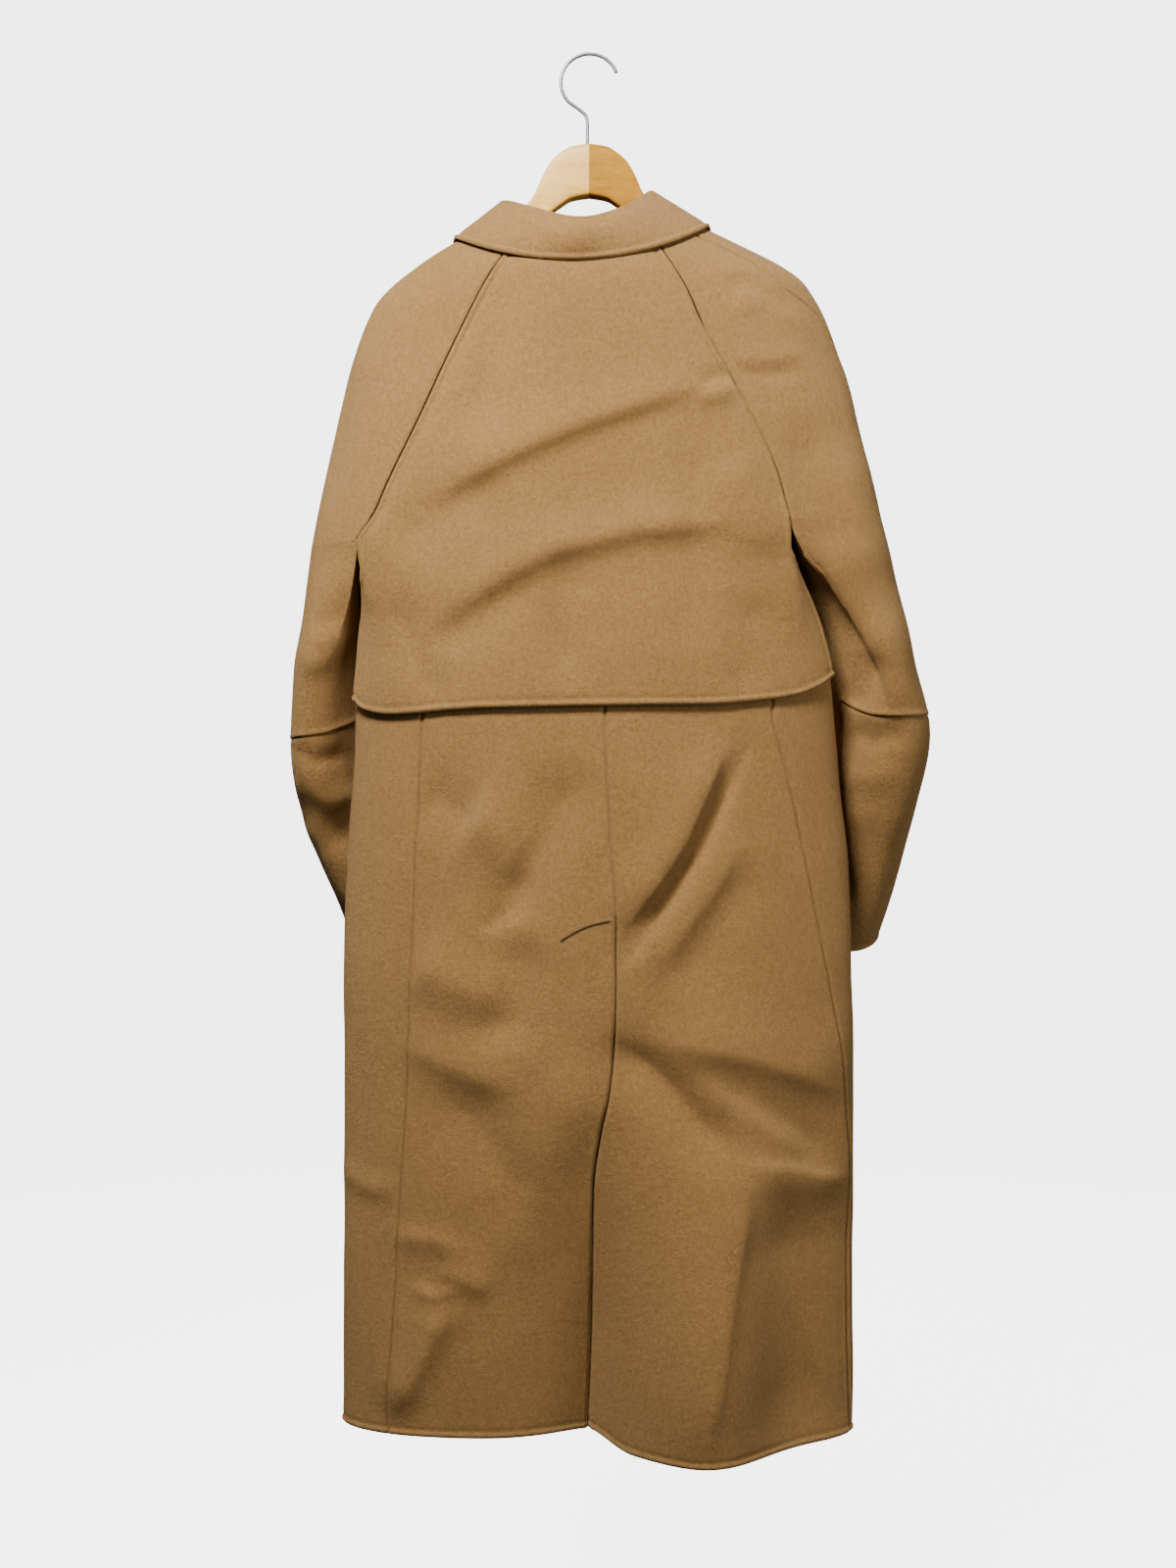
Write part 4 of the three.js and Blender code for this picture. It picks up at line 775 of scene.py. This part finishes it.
left_start = left_quarter + corner_room(body_levels, BACK_CORNER) * half_gap(
    coat_surface, left_quarter + 0.01, body_levels)
left_stop = centre_quarter - half_gap(coat_surface, centre_quarter, body_levels)
ways = run(coat_surface, body_levels, left_start, left_stop)
rows = np.broadcast_to(body_levels[:, None], ways.shape)
cloth_wall(
    "back_left_panel", coat_surface(ways, rows), 1, -LAYER * cape_sink(ways, rows),
    (sewn, sewn, None, felled), whole(ways), ["back_left"], (0.25, 1.14), 0.203, ["hanger_bar"])

right_stop = right_quarter - corner_room(body_levels, BACK_CORNER) * half_gap(
    coat_surface, right_quarter - 0.01, body_levels)
right_start = centre_quarter + half_gap(coat_surface, centre_quarter, body_levels)
lap_end = seam_quarter(centre_back, body_levels, 0.2, 0.8, -VENT_LAP)
over_vent = run(coat_surface, body_levels, right_start, right_stop)
ways = joined(run(coat_surface, body_levels, lap_end, right_start, True, False), over_vent)
lap_columns = ways.shape[1] - over_vent.shape[1]
rows = np.broadcast_to(body_levels[:, None], ways.shape)
points = coat_surface(ways, rows)
beside = points[..., 0] - centre_back(points[..., 2])
tucked = ease(1 - (beside - 0.3) / LAP_STEP) * ease((body_levels[vent_row] + 12 - rows) / 24)
present = whole(ways)
present[:vent_row, :lap_columns] = False
cloth_wall(
    "back_right_panel", points, 1, -VENT_LAYER * tucked - LAYER * cape_sink(ways, rows),
    (sewn, sewn, None, felled), present, ["back_right"], (0.32, 1.15), 0.259, ["hanger_bar"])


# Slanting stitch at the top of the vent: one row of the panels' own thread through the left
# panel, which holds the extension of the right one under it.
def stitch_thread():
    material, tree, shader, add = blank_material("stitch_thread")
    place = add("TexCoord").outputs["Object"]
    ply = add("TexNoise", {"Vector": place, "Scale": 900, "Detail": 1})
    tone = color_ramp(add, ply.outputs["Fac"], [(0.3, (0.11, 0.055, 0.018)),
                                                (0.7, (0.17, 0.090, 0.032))])
    tree.links.new(tone, shader.inputs["Base Color"])
    shader.inputs["Roughness"].default_value = 0.8
    return material


TACK_RADIUS = 0.55
tack_line = smooth_curve([-851, -843, -837, -831.5], [-27, -14, -1, 20.5])
tack_levels = np.linspace(-851, -831.8, 46)
tack_quarter = seam_quarter(tack_line, tack_levels, 0.2, 0.8)
tack_path = coat_surface(tack_quarter, tack_levels) - np.array([0, CLOTH / 2 + 0.1, 0])
wire("vent_tack", tack_path, TACK_RADIUS, 10, stitch_thread(), [])


# Fronts of the coat, hidden from behind: each wraps round its side to the side seam on the
# back, and the left one laps 90 mm over the right one.
FRONT_LAP = 90
FRONT_LAYER = 3.8
FRONT_STEP = 6.5
UNDER_ARM = ARMPIT - 0.01
FRONT_CORNER = 5
FRONT_EDGE_X = 34
FRONT_EDGE = smooth_curve([-180, -1330], [FRONT_EDGE_X, FRONT_EDGE_X])
front_levels = np.concatenate([levels_between(NECK, ARMPIT, False, True, FRONT_STEP),
                               levels_between(ARMPIT, HEM, True, True, FRONT_STEP)[1:]])
front_armpit = int(np.argmin(np.abs(front_levels - ARMPIT)))
below = front_levels < ARMPIT
front_cut = seam_quarter(FRONT_EDGE, front_levels, 2.2, 2.9)
left_wrap = side_seam("left", front_levels)
right_wrap = side_seam("right", front_levels)


def front_run(first, last, near_first, near_last):
    first = np.broadcast_to(first, front_levels.shape)
    return run(coat_surface, front_levels, first, last, near_first, near_last, FRONT_STEP)


def front_room(way):
    return corner_room(front_levels, FRONT_CORNER) * half_gap(coat_surface, way, front_levels)


edge = front_cut + half_gap(coat_surface, front_cut, front_levels) - 4
raglan = np.where(below, -1.0, -1 - front_room(-1.01))
wrap = np.where(below, left_wrap - half_gap(coat_surface, left_wrap, front_levels), 0.0)
upper = front_run(edge, raglan, True, True)
under = joined(front_run(-1.0, 0.0, False, False), front_run(0.0, wrap, False, True))
ways = np.concatenate([upper, under[:, 1:]], axis=1)
rows = np.array(np.broadcast_to(front_levels[:, None], ways.shape))
rows[:, upper.shape[1]:] = np.minimum(rows[:, upper.shape[1]:], UNDER_ARM)
present = whole(ways)
present[:front_armpit, upper.shape[1] - 1:] = False
cloth_wall(
    "front_left_panel", coat_surface(ways, rows), 1, np.zeros(ways.shape),
    (felled, sewn, None, felled), present, ["front_left"], (0.385, 1.13), 0.364, ["hanger_bar"])

edge = seam_quarter(FRONT_EDGE, front_levels, 2.2, 2.9, LAP_STEP)
lap_stop = seam_quarter(FRONT_EDGE, front_levels, 2.2, 2.9, -FRONT_LAP)
raglan = np.where(below, 2.0, 2 + front_room(2.01))
wrap = np.where(below, right_wrap + half_gap(coat_surface, right_wrap, front_levels), 1.0)
under = joined(front_run(wrap, 1.0, True, False), front_run(1.0, 2.0, False, False))
upper = joined(front_run(raglan, edge, True, False), front_run(edge, lap_stop, False, True))
ways = np.concatenate([under[:, :-1], upper], axis=1)
rows = np.array(np.broadcast_to(front_levels[:, None], ways.shape))
rows[:, :under.shape[1] - 1] = np.minimum(rows[:, :under.shape[1] - 1], UNDER_ARM)
present = whole(ways)
present[:front_armpit, :under.shape[1] - 1] = False
points = coat_surface(ways, rows)
over = FRONT_EDGE_X + LAP_STEP - points[..., 0]
cloth_wall(
    "front_right_panel", points, 1,
    np.where(ways > 2, -FRONT_LAYER * ease(over / LAP_STEP), 0.0), (sewn, felled, None, felled),
    present, ["front_right"], (0.41, 1.13), 0.372, ["hanger_bar"])


# Back cape: one loose piece of the same cloth over the shoulders, caught in the neck seam
# and in both raglan seams, free below the armpits, with round lower corners.
CAPE_HEM_START = -570
CAPE_FLARE = 3.4
cape_hem = smooth_curve([-232, -222, -208, -185, -97, 40, 124, 166, 193, 213, 228, 240],
                        [-600, -624, -637, -641, -636, -633.5, -632, -628, -623, -615, -604,
                         -588])
cape_reach = smooth_curve([-467, -492, -520, -560, -640], [0, 0, 0.14, 0.28, 0.34])
cape_levels = levels_between(NECK, CAPE_HEM_START, False, False)
shares = -levels_between(0, -64, False, True)[1:] / 64
cape_rows = np.concatenate([cape_levels, CAPE_HEM_START + (CAPE_HEM - CAPE_HEM_START) * shares])
reach = np.where(cape_rows < ARMPIT, cape_reach(cape_rows), 0)
trim = np.where(cape_rows < ARMPIT, 0, half_gap(coat_surface, 0.01, cape_rows))
ways = run(coat_surface, cape_rows, trim - reach, 1 - trim + reach)


def cape_bottom(level):
    """How far places at a level lie above the cape's lower edge."""
    p = coat_point(ways[-len(shares):], level)
    return p[..., 2] - cape_hem(p[..., 0])


lowest = solve(cape_bottom, np.full(ways[-len(shares):].shape, -660.0),
               np.full(ways[-len(shares):].shape, -570.0))
rows = np.array(np.broadcast_to(cape_rows[:, None], ways.shape))
rows[-len(shares):] = mix(CAPE_HEM_START, lowest, shares[:, None])
lift = LAYER * (1 - cape_sink(ways, rows)) + CAPE_FLARE * ease((-490 - rows) / 144)
cloth_wall(
    "back_cape", coat_surface(ways, rows), 1, lift, (felled, felled, None, felled),
    whole(ways), ["cape_back"], (0.49, 0.46), 0.153, ["back_left_panel", "back_right_panel"])


# Sleeves: raglan sleeves set in from neck to armpit, each with a seam over the arm and one
# inside it. The back is in two parts: the upper one laps over the lower one at the elbow.
SLEEVE_TURN = np.radians(125)
OUTERMOST = 0.5
INNER_SEAM = -0.45
ELBOW_LAP = 7
UPPER_END = -602
UPPER_LAP = 38
FORE_START = -648
FORE_LAP = 40
SLEEVE_SETTLE = 110
OVERARM_SETTLE = -400
LAP_STANDS = {"left": 0.7, "right": 1.8}
sleeve_form = {
    # level, out, forward, half width, half depth, turn, lean
    "left": [
        [-478, 243.9, 0, 24.9, 64, 0, 0], [-510, 246.2, 3, 27, 65, 3, 3],
        [-543, 247.9, 12, 29.5, 66, 7, 6], [-590, 251.9, 24, 30.5, 65, 14, 10],
        [-662, 255.6, 38, 31, 63, 18, 17], [-732, 249.5, 66, 33, 60, 14, 23],
        [-772, 237, 86, 34, 58, 10, 24], [-810, 223.5, 101, 34, 57, 6, 23],
        [-841, 216, 114, 34, 56, 4, 22], [-882, 211, 129, 34, 55, 2, 22]],
    "right": [
        [-456, 235.5, 0, 48.5, 62, 0, 0], [-484, 243.2, 2.6, 47.8, 62, 5, 2],
        [-520, 254.5, 12, 46, 62, 14, 6],
        [-580, 274.5, 22, 41, 64, 10, 10], [-655, 287.5, 34, 44, 62, 18, 16],
        [-715, 280, 50, 42, 60, 18, 21], [-763, 273.5, 70, 41, 58, 15, 22],
        [-819, 263, 92, 40, 56, 12, 22], [-858, 254.5, 107, 39, 55, 10, 22]]}
overarm_angle = {
    "left": smooth_curve([-159, -330], [0, 0]),
    "right": smooth_curve([-159, -190, -231, -250, -280, -330], [28, 27, 29, 22, 10, 0])}
elbow_seam = {"left": (-664, -644, 5), "right": (-635, -623, 12)}


def sleeve_point(side, around, level):
    """A point of a sleeve before its folds: 0 is the back raglan seam, 1 the front one
    over the outside of the arm, and 1 to 2 (or -1 to 0) the inside."""
    around, level = np.broadcast_arrays(np.asarray(around, float), np.asarray(level, float))
    mirror = 1 if side == "right" else -1
    marks = raglan_marks(ARMPIT)

    def on_ring(a):
        quarter = 1 + a if side == "right" else 4 - a
        return shoulder_point(ARMPIT, ring_angle(np.asarray(quarter, float), marks))

    quarter = 1 + around if side == "right" else 4 - around
    upper = coat_point(quarter, np.maximum(level, ARMPIT))
    table = sleeve_form[side]
    out_at, forward, half_width, half_depth, turn, lean = columns(table)
    z = level - ARMPIT + table[0][0]
    a = np.where(around < 0, around + 2, around)
    inside = mix(on_ring(1), on_ring(0), (a - 1)[..., None])
    head = np.where((a > 1)[..., None], inside, on_ring(np.minimum(a, 1)))
    share = (head[..., 0] * mirror - table[0][1]) / table[0][3]
    angle = np.where(a <= 1, mix(-SLEEVE_TURN, SLEEVE_TURN, a),
                     mix(SLEEVE_TURN, 2 * np.pi - SLEEVE_TURN, a - 1))
    turned, leant = np.radians(turn(z)), np.radians(lean(z))
    u = half_width(z) * np.cos(angle)
    v = half_depth(z) * np.sin(angle)
    out = u * np.cos(turned) - v * np.sin(turned)
    ahead = u * np.sin(turned) + v * np.cos(turned)
    settled = ease((ARMPIT - level) / SLEEVE_SETTLE)
    x = mirror * (out_at(z) + mix(share * half_width(z), out, settled))
    y = forward(z) + mix(head[..., 1], ahead * np.cos(leant), settled)
    dip = SHOULDER_TILT * (x - mirror * table[0][1]) * (1 - settled)
    lower = np.stack([x, y, z + dip + ahead * np.sin(leant) * settled], axis=-1)
    return np.where((level >= ARMPIT)[..., None], upper, lower)


sleeve_creases = {
    # width above the line, width below it, height, points x, z
    "left": [
        (22, 22, -4.0, [(-234, -290), (-246, -370), (-258, -450)]),
        (12, 12, -2.6, [(-264, -566), (-238, -548), (-216, -524)]),
        (14, 10, 2.4, [(-274, -604), (-250, -588), (-226, -552)]),
        (9, 9, -2.6, [(-292, -668), (-262, -684), (-228, -674)]),
        (12, 12, 2.6, [(-278, -712), (-252, -724), (-226, -712)]),
        (16, 30, -5.0, [(-284, -708), (-250, -750), (-222, -770)]),
        (22, 16, 3.0, [(-262, -760), (-246, -800), (-226, -840)]),
    ],
    "right": [
        (10, 9, 1.6, [(106, -224), (148, -218), (194, -246)]),
        (10, 9, -1.6, [(108, -240), (152, -232), (200, -262)]),
        (12, 9, 1.6, [(124, -266), (166, -250), (214, -284)]),
        (10, 8, -2.0, [(128, -318), (164, -322), (206, -314)]),
        (10, 10, 1.8, [(128, -306), (168, -308), (212, -298)]),
        (26, 26, -4.0, [(190, -350), (214, -420), (240, -510)]),
        (22, 22, 3.5, [(232, -370), (250, -440), (268, -530)]),
        (6, 22, -8.5, [(196, -478), (232, -536), (254, -572), (272, -604), (286, -644)]),
        (20, 15, -3.6, [(272, -578), (264, -606), (250, -638)]),
        (18, 16, 3.4, [(266, -540), (286, -590), (292, -650)]),
        (12, 10, -3.4, [(246, -650), (272, -664), (310, -656)]),
        (14, 14, 2.8, [(244, -694), (272, -702), (300, -690)]),
        (18, 18, -3.0, [(264, -734), (258, -780), (248, -832)]),
    ]}


def creased_sleeve(side):
    """The folded form of a sleeve; its own folds fade out at the back raglan seam."""
    def surface(around, level):
        point = sleeve_point(side, around, level)
        way = (sleeve_point(side, around + NUDGE, level)
               - sleeve_point(side, around - NUDGE, level))
        sense = 1 if side == "right" else -1
        facing = np.stack([way[..., 1], -way[..., 0]], axis=-1) * sense
        facing /= np.linalg.norm(facing, axis=-1)[..., None]
        x, z = point[..., 0], point[..., 2]
        own = ease((np.abs(x - raglan_seams[0 if side == "left" else 1](z)) - 4) / 16)
        behind = CREASE_RELIEF * (crease_height(back_creases, x, z)
                                  + own * crease_height(sleeve_creases[side], x, z))
        height = np.clip(-facing[..., 1] * FACING_GAIN, 0, 1) * behind + slack(x, z)
        point[..., :2] += facing * height[..., None]
        return point

    return surface


def overarm(side, level):
    """Way round of the seam over the arm."""
    back_left_mark, back_right_mark, front_right_mark, front_left_mark = raglan_marks(level)
    behind_arm = np.radians(overarm_angle[side](level))
    if side == "right":
        way = (-behind_arm - back_right_mark) / (front_right_mark - back_right_mark)
    else:
        way = (back_left_mark + np.pi - behind_arm) / (
            back_left_mark + 2 * np.pi - front_left_mark)
    return mix(way, OUTERMOST, ease(
        (OVERARM_SETTLE - np.asarray(level, float)) / (OVERARM_SETTLE - ARMPIT)))


def elbow_level(side, around):
    """Level at which a place on the back of the sleeve meets the elbow seam."""
    outer, inner, sag = elbow_seam[side]
    share = (OUTERMOST - around) / (OUTERMOST - INNER_SEAM)
    height = mix(outer, inner, share) - sag * 4 * share * (1 - share)

    def above(level):
        return sleeve_point(side, around, level)[..., 2] - height

    return solve(above, np.full(around.shape, -720.0), np.full(around.shape, -590.0))


def welted(d):
    """Lapped edge: a full soft roll that stands off the cloth below it."""
    return -0.9 * np.exp(-(d / 0.9) ** 2) + 0.5 * np.exp(-((d - 3.0) / 2.6) ** 2)


# The cut of each sleeve piece, its flat box in metres and its area, as the solids measure.
sleeve_cuts = {
    "left": {"upper_back": ((0.145, 0.55), 0.059), "lower_back": ((0.15, 0.28), 0.0355),
             "front": ((0.165, 0.77), 0.095)},
    "right": {"upper_back": ((0.18, 0.55), 0.066), "lower_back": ((0.16, 0.28), 0.0373),
              "front": ((0.20, 0.77), 0.116)},
}
for side in ("left", "right"):
    surface = creased_sleeve(side)
    sense = 1 if side == "right" else -1
    head_levels = levels_between(NECK, ARMPIT, False, True)
    arm_levels = levels_between(ARMPIT, UPPER_END, True, False)[1:]
    upper_levels = np.concatenate([head_levels, arm_levels])
    below = upper_levels < ARMPIT
    over = overarm(side, upper_levels)
    gap = half_gap(surface, over, upper_levels)
    first = np.where(below, 0.0, half_gap(surface, 0.01, upper_levels))
    inner = run(surface, upper_levels, np.full(len(upper_levels), INNER_SEAM), 0.0, True, False)
    outer = run(surface, upper_levels, first, over - gap)
    ways = joined(inner, outer)
    elbow_way = ways[-1:]
    elbow = elbow_level(side, elbow_way)
    steps_down = (levels_between(UPPER_END, UPPER_END - UPPER_LAP, False, True)[1:]
                  - UPPER_END) / -UPPER_LAP
    lap_rows = mix(UPPER_END, elbow + 0.2, steps_down[:, None])
    rows = np.concatenate([np.broadcast_to(upper_levels[:, None], ways.shape), lap_rows])
    rows[:, :inner.shape[1] - 1] = np.minimum(rows[:, :inner.shape[1] - 1], UNDER_ARM)
    ways = np.concatenate([ways, np.broadcast_to(elbow_way, lap_rows.shape)])
    present = whole(ways)
    present[:len(head_levels) - 1, :inner.shape[1] - 1] = False
    lap_lift = (LAP_STANDS[side] * np.exp(-((rows - elbow) / 5) ** 2)
                * (1 - 0.9 * ease((ways - 0.05) / 0.3)))
    cloth_wall(f"sleeve_{side}_upper_back", surface(ways, rows), sense, lap_lift,
               (sewn, sewn, None, welted), present, [f"sleeve_{side}_back_upper"],
               *sleeve_cuts[side]["upper_back"], ["hanger_bar"])

    fore_levels = levels_between(FORE_START, CUFF, False, True)
    fore_ways = run(surface, fore_levels, np.full(len(fore_levels), INNER_SEAM),
                    OUTERMOST - half_gap(surface, OUTERMOST, fore_levels))
    start = elbow_level(side, fore_ways[:1]) + ELBOW_LAP
    steps_down = levels_between(0, -FORE_LAP, True, False)[:-1] / -FORE_LAP
    top_rows = mix(start, FORE_START, steps_down[:, None])
    rows = np.concatenate([top_rows, np.broadcast_to(fore_levels[:, None], fore_ways.shape)])
    ways = np.concatenate([np.broadcast_to(fore_ways[:1], top_rows.shape), fore_ways])
    tuck = -0.9 * ease((rows - (start - ELBOW_LAP) + 4) / 6)
    cloth_wall(f"sleeve_{side}_lower_back", surface(ways, rows), sense, tuck,
               (sewn, sewn, open_edge, felled), whole(ways), [f"sleeve_{side}_back_lower"],
               *sleeve_cuts[side]["lower_back"], [f"sleeve_{side}_upper_back"])

    long_levels = np.concatenate([head_levels, levels_between(ARMPIT, CUFF, True, True)[1:]])
    over = overarm(side, long_levels)
    start = over + half_gap(surface, over, long_levels)
    stop = np.where(long_levels < ARMPIT, 1.0, 1 - half_gap(surface, 0.99, long_levels))
    inside_stop = 2 + INNER_SEAM - 2 * half_gap(surface, 1.5, long_levels)
    outer = run(surface, long_levels, start, stop)
    inner = run(surface, long_levels, np.full(len(long_levels), 1.0), inside_stop, False, True)
    ways = joined(outer, inner)
    rows = np.array(np.broadcast_to(long_levels[:, None], ways.shape))
    rows[:, outer.shape[1]:] = np.minimum(rows[:, outer.shape[1]:], UNDER_ARM)
    present = whole(ways)
    present[:len(head_levels) - 1, outer.shape[1] - 1:] = False
    cloth_wall(f"sleeve_{side}_fore_panel", surface(ways, rows), sense, np.zeros(ways.shape),
               (sewn, sewn, None, felled), present, [f"sleeve_{side}_front"],
               *sleeve_cuts[side]["front"], ["hanger_bar"])


# Collar: one strip of the cloth that stands up from the neck seam, rolls over and falls on
# the shoulders. Its outer edge is felled like the others, and its ends stop 22 mm apart.
COLLAR_ROLL = 3.4
COLLAR_REACH = 0.965
COLLAR_SWELL = 8.5
collar_x, collar_y, collar_z = columns([
    # turn, and the line of the roll: x, y, z
    [-1, -14, 64, -216], [-0.75, -66, 40, -178], [-0.5, -84, 0, -143],
    [-0.25, -59, -42, -159.5], [0, -8, -60, -176], [0.25, 40, -38, -156],
    [0.5, 61, 0, -132.5], [0.75, 52, 38, -168], [1, 8, 64, -216]])
collar_edge_level, collar_edge_lift = columns([
    # turn, level of the outer edge on the shoulders, how far it stands off them
    [-1, -226, 5], [-0.75, -196, 4.5], [-0.5, -176, 4], [0, -175, 4.2], [0.5, -175, 3.4],
    [0.75, -196, 4.5], [1, -226, 5]])


def unit(v):
    return v / np.linalg.norm(v)


def collar_section(turn):
    """Points of the collar's middle line from the neck seam to its outer edge."""
    angle = -np.pi / 2 + turn * np.pi * COLLAR_REACH
    neck = shoulder_point(NECK, angle)
    inward = unit(np.array([neck[0] + 6.5, neck[1], 0]))
    neck = neck - inward * CLOTH / 2
    level = float(collar_edge_level(turn))
    edge = shoulder_point(level, angle)
    way = shoulder_point(level, angle + NUDGE) - shoulder_point(level, angle - NUDGE)
    up = shoulder_point(level + 1, angle) - shoulder_point(level - 1, angle)
    edge = edge + unit(np.cross(way, up)) * collar_edge_lift(turn)
    roll = np.array([collar_x(turn), collar_y(turn), collar_z(turn)])
    out = unit(np.array([edge[0] - roll[0], edge[1] - roll[1], 0]))
    centre = roll - np.array([0, 0, COLLAR_ROLL])
    neck_out, neck_up = (neck - centre) @ out, neck[2] - centre[2]
    edge_out, edge_up = (edge - centre) @ out, edge[2] - centre[2]
    rise = unit(np.array([-COLLAR_ROLL - neck_out, -neck_up]))
    fall = unit(np.array([edge_out - COLLAR_ROLL, edge_up]))
    first = np.arctan2(rise[0], -rise[1]) + (2 * np.pi if rise[0] < 0 else 0)
    last = np.arctan2(fall[0], -fall[1])
    bend = np.linspace(first, last, 13)
    arc = COLLAR_ROLL * np.stack([np.cos(bend), np.sin(bend)], axis=-1)
    foot = np.array([neck_out, neck_up]) + rise * 1.4
    stand = mix(foot, arc[0], np.linspace(0, 1, 9)[:-1, None])
    swell = COLLAR_SWELL * (1 - ease(abs(turn) / 0.45))
    length = np.hypot(*(np.array([edge_out, edge_up]) - arc[-1]))
    share = steps([length], 22, False, True)[0][1:] / length
    bow = swell * np.sin(np.pi * share ** 0.75)[:, None] * np.array([-fall[1], fall[0]])
    drop = mix(arc[-1], np.array([edge_out, edge_up]), share[:, None]) + bow
    path = np.concatenate([stand, arc, drop])
    skew = neck - centre
    sideways = skew - out * (skew @ out)
    sideways[2] = 0
    lean = np.clip(1 - np.arange(len(path)) / 8, 0, 1)
    return (centre + path[:, :1] * out + path[:, 1:] * np.array([0, 0, 1])
            + lean[:, None] * sideways)


turns = np.linspace(-1, 1, 141)
collar_grid = np.stack([collar_section(turn) for turn in turns], axis=1)
cloth_wall("collar_strip", collar_grid, 1, np.full(collar_grid.shape[:2], CLOTH / 2),
           (felled, felled, None, felled), whole(collar_grid), ["collar"], (0.62, 0.12), 0.052,
           ["back_cape", "back_left_panel"])


# Studio: a pale paper floor with nothing on it, one small strong light close above the coat,
# softer ones from both sides and from the front, and the camera at the coat's mid height.
FLOOR_LEVEL = -1.75
FLOOR_SIDES = 96


def pale_paper():
    material, tree, shader, add = blank_material("pale_paper")
    place = add("TexCoord").outputs["Object"]
    tooth = add("TexNoise", {"Vector": place, "Scale": 400, "Detail": 2})
    tone = color_ramp(add, tooth.outputs["Fac"], [(0.3, (0.90, 0.90, 0.90)),
                                                  (0.7, (0.94, 0.94, 0.94))])
    tree.links.new(tone, shader.inputs["Base Color"])
    shader.inputs["Roughness"].default_value = 0.95
    shader.inputs["Emission Color"].default_value = (1, 1, 1, 1)
    shader.inputs["Emission Strength"].default_value = 4.2
    return material


def paper_floor():
    ring = np.linspace(0, 2 * np.pi, FLOOR_SIDES, endpoint=False)
    points = [(0, 0, FLOOR_LEVEL)]
    points += [(r * np.cos(a), r * np.sin(a), FLOOR_LEVEL) for r in (2.0, 9.0) for a in ring]
    faces = []
    for i in range(FLOOR_SIDES):
        here, beyond = 1 + i, 1 + (i + 1) % FLOOR_SIDES
        faces.append((0, here, beyond))
        faces.append((here, here + FLOOR_SIDES, beyond + FLOOR_SIDES, beyond))
    mesh = bpy.data.meshes.new("paper_floor")
    mesh.from_pydata(points, [], faces)
    thing = bpy.data.objects.new("paper_floor", mesh)
    bpy.context.scene.collection.objects.link(thing)
    mesh.materials.append(pale_paper())
    thing.visible_diffuse = False
    thing.visible_glossy = False


def softbox(name, place, aim, size, power, colour):
    lamp = bpy.data.lights.new(name, "AREA")
    lamp.shape = "RECTANGLE"
    lamp.size, lamp.size_y = size
    lamp.energy = power
    lamp.color = colour
    thing = bpy.data.objects.new(name, lamp)
    bpy.context.scene.collection.objects.link(thing)
    thing.location = place
    way = Vector(aim) - Vector(place)
    thing.rotation_euler = way.to_track_quat("-Z", "Y").to_euler()


paper_floor()
softbox("light_above", (-0.48, -1.16, 0.70), (0, 0, -0.68), (0.6, 0.4), 72, (1, 0.985, 0.96))
softbox("light_left", (-1.9, -1.9, -0.2), (0, 0, -0.7), (1.0, 1.0), 5, (1, 0.99, 0.97))
softbox("light_right", (2.0, -1.3, -0.4), (0, 0, -0.9), (0.8, 0.8), 24, (1, 0.99, 0.97))
softbox("light_front", (0.7, 2.1, 0.7), (0, 0, -0.7), (1.2, 1.2), 70, (1, 1, 1))

world = bpy.data.worlds.new("studio")
world.use_nodes = True
world.node_tree.nodes["Background"].inputs["Color"].default_value = (1, 1, 1, 1)
world.node_tree.nodes["Background"].inputs["Strength"].default_value = 4.4
world.cycles_visibility.diffuse = False
world.cycles_visibility.glossy = False
bpy.context.scene.world = world

camera_lens = bpy.data.cameras.new("camera")
camera_lens.lens = 40.26
camera_lens.sensor_width = 36
camera = bpy.data.objects.new("camera", camera_lens)
camera.location = (-0.001, -1.7, -0.706)
camera.rotation_euler = (np.pi / 2, 0, 0)
bpy.context.scene.collection.objects.link(camera)
bpy.context.scene.camera = camera
